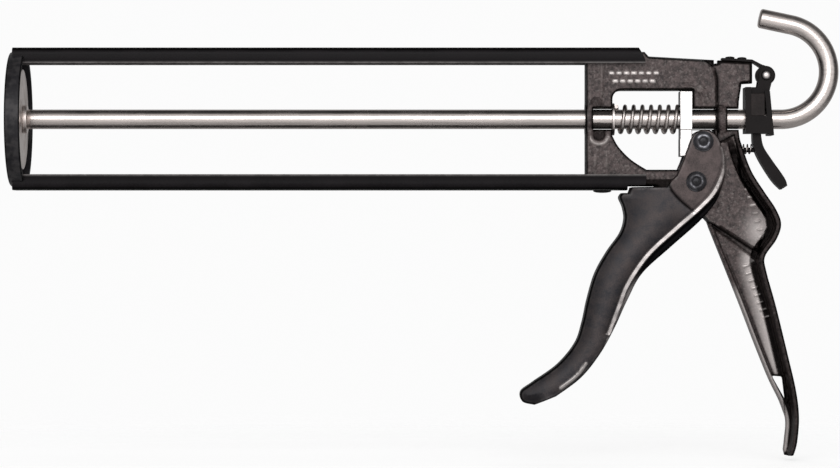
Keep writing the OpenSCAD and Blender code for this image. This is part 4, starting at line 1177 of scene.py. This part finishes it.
def trigger_height(p):
    """Half thickness of the trigger: flat cheeks, narrowing towards the tip, a finger crowned from its
    front to its rear, a bead along the rear edge and a fall outside it."""
    z = p[:, 1]
    tip = TRIGGER_LOW[2]
    down = np.clip((PIVOT[1] - 34 - z) / (PIVOT[1] - 34 - tip), 0, 1)
    h = CHEEK_OUT - (CHEEK_OUT - 7.5) * down ** 1.4
    front, rear = distance(p, TRIGGER_FRONT), distance(p, TRIGGER_REAR)
    bead, foot, crease = distance(p, BEAD), distance(p, FOOT_BEAD), distance(p, CREASE)
    # The finger's face crowns at 0.6 of the way from its front edge to the bead
    finger = ramp(crease, 0, 9) * outside_of(p, FINGER_TOP)
    across = front / np.maximum(front + np.minimum(bead, rear + 1), 1e-6)
    drop = np.where(across < 0.6, 2.6 * (1 - across / 0.6) ** 2, 1.1 * ((across - 0.6) / 0.4) ** 2)
    h = h - drop * finger
    # Outside the bead the face falls away, most where the bead is far from the edge
    outside = (rear < 7) & (bead < 7) & outside_of(p, BEAD)
    fall = np.where(outside, ramp(bead, 0.9, 2.6), 0) * ramp(PIVOT[1] + 8 - z, 0, 8)
    upper = ramp(z, PIVOT[1] - 52, PIVOT[1] - 40)
    h = h - 1.5 * fall * (0.35 + 0.65 * upper)
    line, short = ramp(1.15 - bead, 0, 0.6), ramp(1.0 - foot, 0, 0.5)
    ridge = np.maximum(0.8 * line, 0.6 * short)
    h = h + ridge - 0.5 * bump(crease, 0.5)
    edges = distance(p, TRIGGER_OUTLINE, closed=True)
    h = h - fillet(edges, 0.9)
    # Masks: worn places, painted shade in the crease, deep painted shade across the finger's face away from
    # its crown, outside the bead, beside the bead, along the finger's front edge and at the rims, a painted
    # highlight along the bead, the foot's bead and the lower fall, and the clevis's browner tint
    clevis = 1 - outside_of(p, FINGER_TOP) * ramp(crease, 0, 0.8)
    head = ramp(z, PIVOT[1] - 8, PIVOT[1] + 4)
    finger_shade = 0.45 * (1 - bump(across - 0.58, 0.2)) * finger
    beyond = outside * ramp(bead, 0.8, 1.3) * (0.25 + 0.75 * upper) * (1 - head)
    shade = np.max([finger_shade, 0.97 * beyond, 0.85 * bump(crease, 0.55),
                    0.9 * ramp(1.5 - front, 0, 0.7) * (1 - clevis), 0.6 * ramp(0.8 - edges, 0, 0.4),
                    0.6 * bump(bead - 1.7, 0.5) * ~outside], axis=0)
    patches = 0.5 + 0.5 * np.sin(z * 1.3 + 1.1 * np.sin(z * 0.47))
    strength = 0.35 + 0.65 * ramp(PIVOT[1] + 2 - z, 0, 12) - 0.35 * ramp(PIVOT[1] - 40 - z, 0, 14)
    strength = strength * (0.75 + 0.25 * patches)
    rim = 0.3 * (1 - upper) * fall
    bare_and_highlight = np.clip(np.max([strength * line, 0.55 * short, rim], axis=0), 0, 1)
    edge = np.clip(0.25 * bump(edges - 0.9, 0.4) + 0.5 * ridge, 0, 1)
    masks = {"edge": edge, "hollow": 0.6 * bump(crease, 1.0), "shade": shade * (1 - line), "bare_and_highlight": bare_and_highlight,
             "tint": clevis}
    return h, masks


def outside_of(p, path):
    """True on the left-hand side of the nearest stretch of a path, or past its line."""
    a, way = path[:-1], path[1:] - path[:-1]
    v = p[:, None, :] - (a + way / 2)
    near = np.argmin((v ** 2).sum(-1), 1)
    chosen, w = p - a[near], way[near]
    return w[:, 0] * chosen[:, 1] - w[:, 1] * chosen[:, 0] > 0


TRIGGER_HOLLOW = np.vstack([
    from_pivot([(-40, 4), (-30.7, -5)]),
    smooth_curve(from_pivot([(-30.1, -11.7), (-29.4, -17.2), (-31.4, -24.7), (-37.4, -33.4), (-42.9, -43),
                             (-46.5, -54.6), (-48.8, -64.7)])),
    from_pivot([(-46, -74), (-38, -78), (30, -70), (30, 40), (-40, 40)])])


def build_trigger(spacing):
    """Trigger: two cheeks round the housing, joined by the wall that the fingers pull."""
    guides = [(BEAD, (-1.5, -1.1, -0.7, 0.7, 1.1, 1.5)), (CREASE, (-0.6, 0, 0.6))]
    points, faces, masks = casting(TRIGGER_OUTLINE, [], trigger_height, spacing,
                                   (0.12, 0.35, 0.7, 1.2, 1.7), guides)
    piece = finish_mesh("trigger_lever", points, faces, 42, masks)
    around, sides, n = prism(TRIGGER_HOLLOW, CHEEK_IN)
    half_low = 4.5
    low, tip = PIVOT[1] - 40, TRIGGER_LOW[2] - 1
    share = np.clip((low - around[:, 2]) / (low - tip), 0, 1)
    around[:, 1] *= 1 - share * (1 - half_low / CHEEK_IN)
    sides += [list(range(n))[::-1], list(range(n, 2 * n))]
    cut_with(piece, around, sides)
    place(piece, "trigger", "trigger_paint", FINISHES["trigger"], "trigger")


def pin_profile(half, head_r, head_t, shank_r, washer_t):
    """A pin's (a, r) profile along Y, from its head's face at the near side to its riveted tail. The
    head has a raised ring round a dished centre."""
    a = -half - head_t
    head = [(a + 0.35, 0), (a + 0.35, head_r * 0.20), (a + 0.55, head_r * 0.34), (a + 0.1, head_r * 0.46),
            (a, head_r * 0.58), (a + 0.12, head_r * 0.70), (a + 0.5, head_r * 0.84),
            (a + 0.85, head_r * 0.95),
            (a + 1.15, head_r), (-half - 0.05, head_r), (-half, head_r * 0.97), (-half, shank_r)]
    b = half + washer_t
    tail = [(b, shank_r), (b, head_r * 0.92), (b + 0.4, head_r * 0.97), (b + 0.8, head_r * 0.84),
            (b + head_t * 0.9, head_r * 0.5), (b + head_t, head_r * 0.3), (b + head_t * 0.85, head_r * 0.18),
            (b + head_t * 0.8, 0)]
    return head + tail


PIN_HEAD_R, PIN_HEAD_T, PIN_R = 4.7, 1.5, 2.5
PIN_WASHER_T = 1.0
PIN_PLAY = 0.02


def build_pins():
    """Pivot pin and drive pin with their washers, and the sleeve between the cheeks."""
    steps = 56
    pins = (("pivot_pin_dished", "trigger_pivot_pin", "pivot_pin_washer", PIVOT),
            ("drive_pin_dished", "drive_pin", "drive_pin_washer", DRIVE))
    for name, node, washer, (x, z) in pins:
        profile = np.array(pin_profile(CHEEK_OUT, PIN_HEAD_R, PIN_HEAD_T, PIN_R, PIN_WASHER_T))
        points, faces = turned(profile, (x, 0, z), ACROSS, steps)
        radial = np.repeat(profile[:, 1], steps)
        edge = bump(radial - PIN_HEAD_R * 0.58, 0.5) + 0.8 * bump(radial - PIN_HEAD_R, 0.35)
        piece = finish_mesh(name, points, faces, 50, {"edge": edge, "hollow": bump(radial, 1.3)})
        place(piece, bodies_of(node), "rivet_dark", FINISHES["rivet"], node)
        low, high = corners(washer)
        points, faces = turned(ring_profile(low[1], high[1], PIN_R + PIN_PLAY, high[0] - x, 0.25),
                               (x, 0, z), ACROSS, steps, closed=True)
        piece = finish_mesh(washer + "_ring", points, faces, 45)
        place(piece, bodies_of(washer), "zinc_steel", FINISHES["zinc_face"], washer)
    low, high = corners("drive_sleeve")
    points, faces = turned(ring_profile(low[1], high[1], PIN_R + PIN_PLAY, SLEEVE_R, 0.3),
                           (DRIVE[0], 0, DRIVE[1]), ACROSS, steps, closed=True)
    piece = finish_mesh("drive_roller", points, faces, 45)
    place(piece, bodies_of("drive_sleeve"), "zinc_steel", FINISHES["zinc"], "drive_sleeve")


# ---- Drive plate, springs and catch ----

def build_drive():
    """Drive plate, its return spring and the washer that the spring bears on."""
    dress_node("drive_plate", FINISHES["plate"], 0.4)
    length = SPRING_HIGH[0] - SPRING_LOW[0]
    points, faces = wire_coil(SPRING_LOW[0], length, 2 * SPRING_HIGH[1], 1.8, 7, sides=16, steps=40)
    spring = finish_mesh("return_spring", points, faces, 60)
    place(spring, bodies_of("main_spring"), "spring_steel", FINISHES["spring"], "main_spring")
    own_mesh(spring)
    points, faces = turned(ring_profile(WASHER_LOW[0], WASHER_HIGH[0], 4.9, WASHER_HIGH[1], 0.3),
                           (0, 0, 0), ALONG, 64, closed=True)
    piece = finish_mesh("spring_seat", points, faces, 45)
    place(piece, bodies_of("spring_washer"), "zinc_steel", FINISHES["zinc_face"], "spring_washer")


def build_catch():
    """Release catch with its block, hanger, pin, peg and spring."""
    dress_node("release_catch", FINISHES["catch"], 0.35)
    dress_node("catch_spacer", FINISHES["block"], 0.35)
    dress_node("catch_hanger", FINISHES["catch"], 0.3)
    dress_node("hanger_rivets", FINISHES["catch"])
    low, high = corners("catch_pin")
    head = [(0, 0), (0.05, 0.7), (0.35, 1.6), (0.8, 2.25), (1.1, 2.3)]
    profile = np.array([(low[1] + a, r) for a, r in head] + [(low[1] + 1.1, 1.5), (high[1] - 1.1, 1.5)]
                       + [(high[1] - a, r) for a, r in head[::-1]])
    points, faces = turned(profile, (HINGE[0], 0, HINGE[1]), ACROSS, 48)
    radial = np.repeat(profile[:, 1], 48)
    # A painted highlight in the pin's centre and painted shade round it
    masks = {"bare_and_highlight": 0.9 * ramp(1.7 - radial, 0, 0.5), "shade": ramp(radial, 1.7, 2.1)}
    piece = finish_mesh("catch_hinge_pin", points, faces, 50, masks)
    place(piece, bodies_of("catch_pin"), "zinc_steel", FINISHES["rivet"], "catch_pin")
    dress_node("catch_spring_pin", FINISHES["catch"])
    low, high = corners("catch_spring")
    points, faces = wire_coil(low[0], high[0] - low[0], 4.8, 0.65, 5, z0=POCKET_Z, sides=10, steps=28)
    spring = finish_mesh("catch_coil", points, faces, 60)
    place(spring, bodies_of("catch_spring"), "spring_steel", FINISHES["spring"], "catch_spring")
    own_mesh(spring)


# ---- Stage ----

# Middle of the floor's shadow along X in metres, the floor's own light, and where it fades out
FLOOR_MIDDLE = 0.24
FLOOR_GLOW = 0.68
FLOOR_FADE = (0.12, 0.75)
FLOOR_R = 4.0


def floor_height():
    """The floor lies just under the gun's lowest point."""
    return cad_box[0][2] - 0.002


def build_stage(sizes):
    """Camera, floor, lights and the soft surroundings."""
    scene = bpy.context.scene
    scene.view_settings.view_transform = "Standard"
    data = bpy.data.cameras.new("camera")
    data.sensor_width = 36.0
    data.lens = sizes.lens
    data.clip_start, data.clip_end = 0.01, 60.0
    camera = bpy.data.objects.new("camera", data)
    camera.location = (0.1884, -sizes.camera_distance, -0.0528)
    camera.rotation_euler = (math.radians(90), 0, 0)
    scene.collection.objects.link(camera)
    scene.camera = camera

    mesh = bpy.data.meshes.new("floor")
    t = np.linspace(0, 2 * np.pi, 96, endpoint=False)
    rim = np.stack([0.19 + FLOOR_R * np.cos(t), FLOOR_R * np.sin(t), np.full(96, floor_height())], 1)
    mesh.from_pydata(rim.tolist(), [], [list(range(96))])
    floor = bpy.data.objects.new("floor", mesh)
    scene.collection.objects.link(floor)
    mesh.materials.append(floor_material())

    lights = (
        ("front_softbox", (0.15, -1.9, 0.6), (72, 0, 0), 1.6, 1.1, sizes.front_light),
        ("rear_softbox", (0.2, 1.9, 0.9), (-65, 0, 0), 1.6, 1.1, sizes.front_light * 0.7),
        ("top_softbox", (0.2, 0.0, 1.9), (0, 0, 0), 1.2, 1.2, sizes.front_light * 0.22),
    )
    for name, at, turn, width, height, power in lights:
        lamp = bpy.data.lights.new(name, "AREA")
        lamp.shape = "RECTANGLE"
        lamp.size, lamp.size_y = width, height
        lamp.energy = power
        box = bpy.data.objects.new(name, lamp)
        box.location = at
        box.rotation_euler = tuple(math.radians(v) for v in turn)
        box.visible_camera = False
        box.visible_glossy = name == "front_softbox"
        scene.collection.objects.link(box)
    scene.world = surroundings(sizes.surroundings)


def floor_material():
    """Pale floor that takes a soft shadow and fades into the backdrop: its own light plus what falls
    on it comes to the backdrop's level."""
    material = bpy.data.materials.new("pale_floor")
    material.use_nodes = True
    tree = material.node_tree
    tree.nodes.clear()
    pale, dull = (add(tree, "ShaderNodeBsdfDiffuse") for _ in range(2))
    pale.inputs["Color"].default_value = (0.55, 0.55, 0.55, 1)
    dull.inputs["Color"].default_value = (0.6, 0.6, 0.6, 1)
    glow = add(tree, "ShaderNodeEmission")
    glow.inputs["Strength"].default_value = FLOOR_GLOW
    both = add(tree, "ShaderNodeAddShader")
    seen, out = (add(tree, "ShaderNodeMixShader") for _ in range(2))
    path, clear = add(tree, "ShaderNodeLightPath"), add(tree, "ShaderNodeBsdfTransparent")
    coords, shift = add(tree, "ShaderNodeTexCoord"), add(tree, "ShaderNodeMapping")
    shift.inputs["Location"].default_value = (-FLOOR_MIDDLE, 0, -floor_height())
    shift.inputs["Scale"].default_value = (1, 1.6, 1)
    length = add(tree, "ShaderNodeVectorMath", operation="LENGTH")
    end = add(tree, "ShaderNodeOutputMaterial")
    for source, target in ((pale.outputs[0], both.inputs[0]), (glow.outputs[0], both.inputs[1]),
                           (path.outputs["Is Camera Ray"], seen.inputs[0]),
                           (dull.outputs[0], seen.inputs[1]), (both.outputs[0], seen.inputs[2]),
                           (coords.outputs["Object"], shift.inputs["Vector"]),
                           (shift.outputs["Vector"], length.inputs[0]), (seen.outputs[0], out.inputs[1]),
                           (clear.outputs[0], out.inputs[2]), (out.outputs[0], end.inputs["Surface"])):
        tree.links.new(source, target)
    tree.links.new(mapped(tree, length.outputs["Value"], *FLOOR_FADE), out.inputs[0])
    return material


def surroundings(strength):
    """A pale backdrop, and a studio that is bright in front and behind and dim at its sides."""
    world = bpy.data.worlds.new("studio")
    world.use_nodes = True
    tree = world.node_tree
    tree.nodes.clear()
    coords = add(tree, "ShaderNodeTexCoord")
    split = add(tree, "ShaderNodeSeparateXYZ")
    tree.links.new(coords.outputs["Generated"], split.inputs[0])
    front = mapped(tree, maths(tree, "MULTIPLY", split.outputs["Y"], -1.0), 0.3, 0.7, 0.0, 1.0)
    rear = mapped(tree, split.outputs["Y"], 0.3, 0.8, 0.0, 0.4)
    level = maths(tree, "ADD", maths(tree, "ADD", front, rear), 0.05)
    studio = add(tree, "ShaderNodeBackground")
    tree.links.new(level, studio.inputs["Color"])
    studio.inputs["Strength"].default_value = strength
    backdrop = add(tree, "ShaderNodeBackground")
    backdrop.inputs["Color"].default_value = (0.97, 0.97, 0.97, 1)
    path = add(tree, "ShaderNodeLightPath")
    both = add(tree, "ShaderNodeMixShader")
    tree.links.new(path.outputs["Is Camera Ray"], both.inputs[0])
    tree.links.new(studio.outputs[0], both.inputs[1])
    tree.links.new(backdrop.outputs[0], both.inputs[2])
    end = add(tree, "ShaderNodeOutputWorld")
    tree.links.new(both.outputs[0], end.inputs["Surface"])
    return world


# ---- The add-on's settings, steps and panel ----

class GunSizes(bpy.types.PropertyGroup):
    """Sizes and strengths that a user may change."""
    net: FloatProperty(name="Net spacing", description="Spacing of the points that shape the castings, mm",
                       default=0.5, min=0.3, max=1.5)
    grain: FloatProperty(name="Casting grain", description="Height of the casting's surface grain, mm",
                         default=0.05, min=0.0, max=0.2)
    lens: FloatProperty(name="Lens", description="Focal length of the camera", default=161.0,
                        unit="CAMERA")
    camera_distance: FloatProperty(name="Camera distance",
                                   description="From the camera to the gun's middle plane",
                                   default=1.73, unit="LENGTH")
    front_light: FloatProperty(name="Front softbox", description="Power of the softbox in front",
                               default=16.0, min=0.0, unit="POWER")
    surroundings: FloatProperty(name="Surroundings",
                                description="Brightness of the studio's soft surroundings",
                                default=0.8, min=0.0)


def colour_property(name, description, default):
    """A colour that a user may change."""
    return FloatVectorProperty(name=name, description=description, subtype="COLOR", size=3,
                               default=default, min=0.0, max=1.0)


class GunColours(bpy.types.PropertyGroup):
    """Colours of the gun's finishes."""
    rail: colour_property("Rails", "Black paint on the rails", (0.010, 0.0085, 0.0095))
    cap: colour_property("Front cap", "Dark grey paint on the front cap", (0.022, 0.021, 0.024))
    cast: colour_property("Casting", "Brown-grey paint on the housing and grip", (0.050, 0.038, 0.037))
    trigger: colour_property("Trigger", "Grey paint on the trigger", (0.046, 0.037, 0.036))
    zinc: colour_property("Zinc", "Plated steel of the rod and plates", (0.80, 0.73, 0.70))
    black: colour_property("Catch", "Black finish on the release catch", (0.014, 0.012, 0.012))


class BuildFinishes(bpy.types.Operator):
    """Make the gun's materials and the shader groups that they share"""
    bl_idname = "caulking_gun.finishes"
    bl_label = "Finishes"

    def execute(self, context):
        make_finishes(context.scene.gun_colours, context.scene.gun_sizes)
        return {"FINISHED"}


class BuildStage(bpy.types.Operator):
    """Set up the camera, the pale floor and the soft studio light"""
    bl_idname = "caulking_gun.stage"
    bl_label = "Stage"

    def execute(self, context):
        build_stage(context.scene.gun_sizes)
        return {"FINISHED"}


class BuildRails(bpy.types.Operator):
    """Build the upper and the lower rail"""
    bl_idname = "caulking_gun.rails"
    bl_label = "Rails"

    def execute(self, context):
        build_rails()
        return {"FINISHED"}


class BuildCap(bpy.types.Operator):
    """Build the front cap with its tabs"""
    bl_idname = "caulking_gun.cap"
    bl_label = "Front cap"

    def execute(self, context):
        build_cap()
        return {"FINISHED"}


class BuildRivets(bpy.types.Operator):
    """Build the rivets of the rails"""
    bl_idname = "caulking_gun.rivets"
    bl_label = "Rivets"

    def execute(self, context):
        build_rivets()
        return {"FINISHED"}


class BuildHousing(bpy.types.Operator):
    """Build the cast housing and grip"""
    bl_idname = "caulking_gun.housing"
    bl_label = "Housing and grip"

    def execute(self, context):
        build_housing(context.scene.gun_sizes.net)
        return {"FINISHED"}


class BuildRod(bpy.types.Operator):
    """Build the hooked push rod"""
    bl_idname = "caulking_gun.rod"
    bl_label = "Push rod"

    def execute(self, context):
        build_rod()
        return {"FINISHED"}


class BuildPiston(bpy.types.Operator):
    """Build the piston, its washer and its nut"""
    bl_idname = "caulking_gun.piston"
    bl_label = "Piston"

    def execute(self, context):
        build_piston()
        return {"FINISHED"}


class BuildDrive(bpy.types.Operator):
    """Build the drive plate, the return spring and its washer"""
    bl_idname = "caulking_gun.drive"
    bl_label = "Drive plate and spring"

    def execute(self, context):
        build_drive()
        return {"FINISHED"}


class BuildTrigger(bpy.types.Operator):
    """Build the trigger"""
    bl_idname = "caulking_gun.trigger"
    bl_label = "Trigger"

    def execute(self, context):
        build_trigger(context.scene.gun_sizes.net)
        return {"FINISHED"}


class BuildPins(bpy.types.Operator):
    """Build the trigger's pins, washers and sleeve"""
    bl_idname = "caulking_gun.pins"
    bl_label = "Pins"

    def execute(self, context):
        build_pins()
        return {"FINISHED"}


class BuildCatch(bpy.types.Operator):
    """Build the release catch, its hanger, pin and spring"""
    bl_idname = "caulking_gun.catch"
    bl_label = "Release catch"

    def execute(self, context):
        build_catch()
        return {"FINISHED"}


STEPS = (BuildStage, BuildFinishes, BuildRails, BuildCap, BuildRivets, BuildHousing, BuildRod, BuildPiston,
         BuildDrive, BuildTrigger, BuildPins, BuildCatch)


class GunPanel(bpy.types.Panel):
    """Lists the gun's sizes, colours and building steps"""
    bl_idname = "VIEW3D_PT_caulking_gun"
    bl_label = "Caulking gun"
    bl_space_type = "VIEW_3D"
    bl_region_type = "UI"
    bl_category = "Caulking gun"

    def draw(self, context):
        for group in (context.scene.gun_sizes, context.scene.gun_colours):
            for key in group.bl_rna.properties.keys():
                if key not in {"rna_type", "name"}:
                    self.layout.prop(group, key)
        for step in STEPS:
            self.layout.operator(step.bl_idname)


CLASSES = (GunSizes, GunColours, *STEPS, GunPanel)


def register():
    for part in CLASSES:
        bpy.utils.register_class(part)
    bpy.types.Scene.gun_sizes = PointerProperty(type=GunSizes)
    bpy.types.Scene.gun_colours = PointerProperty(type=GunColours)


def unregister():
    del bpy.types.Scene.gun_colours, bpy.types.Scene.gun_sizes
    for part in reversed(CLASSES):
        bpy.utils.unregister_class(part)


def main():
    """Registers the add-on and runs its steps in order."""
    register()
    for step in STEPS:
        area, label = step.bl_idname.split(".")
        getattr(getattr(bpy.ops, area), label)()
    bpy.context.view_layer.update()


if __name__ == "__main__":
    main()
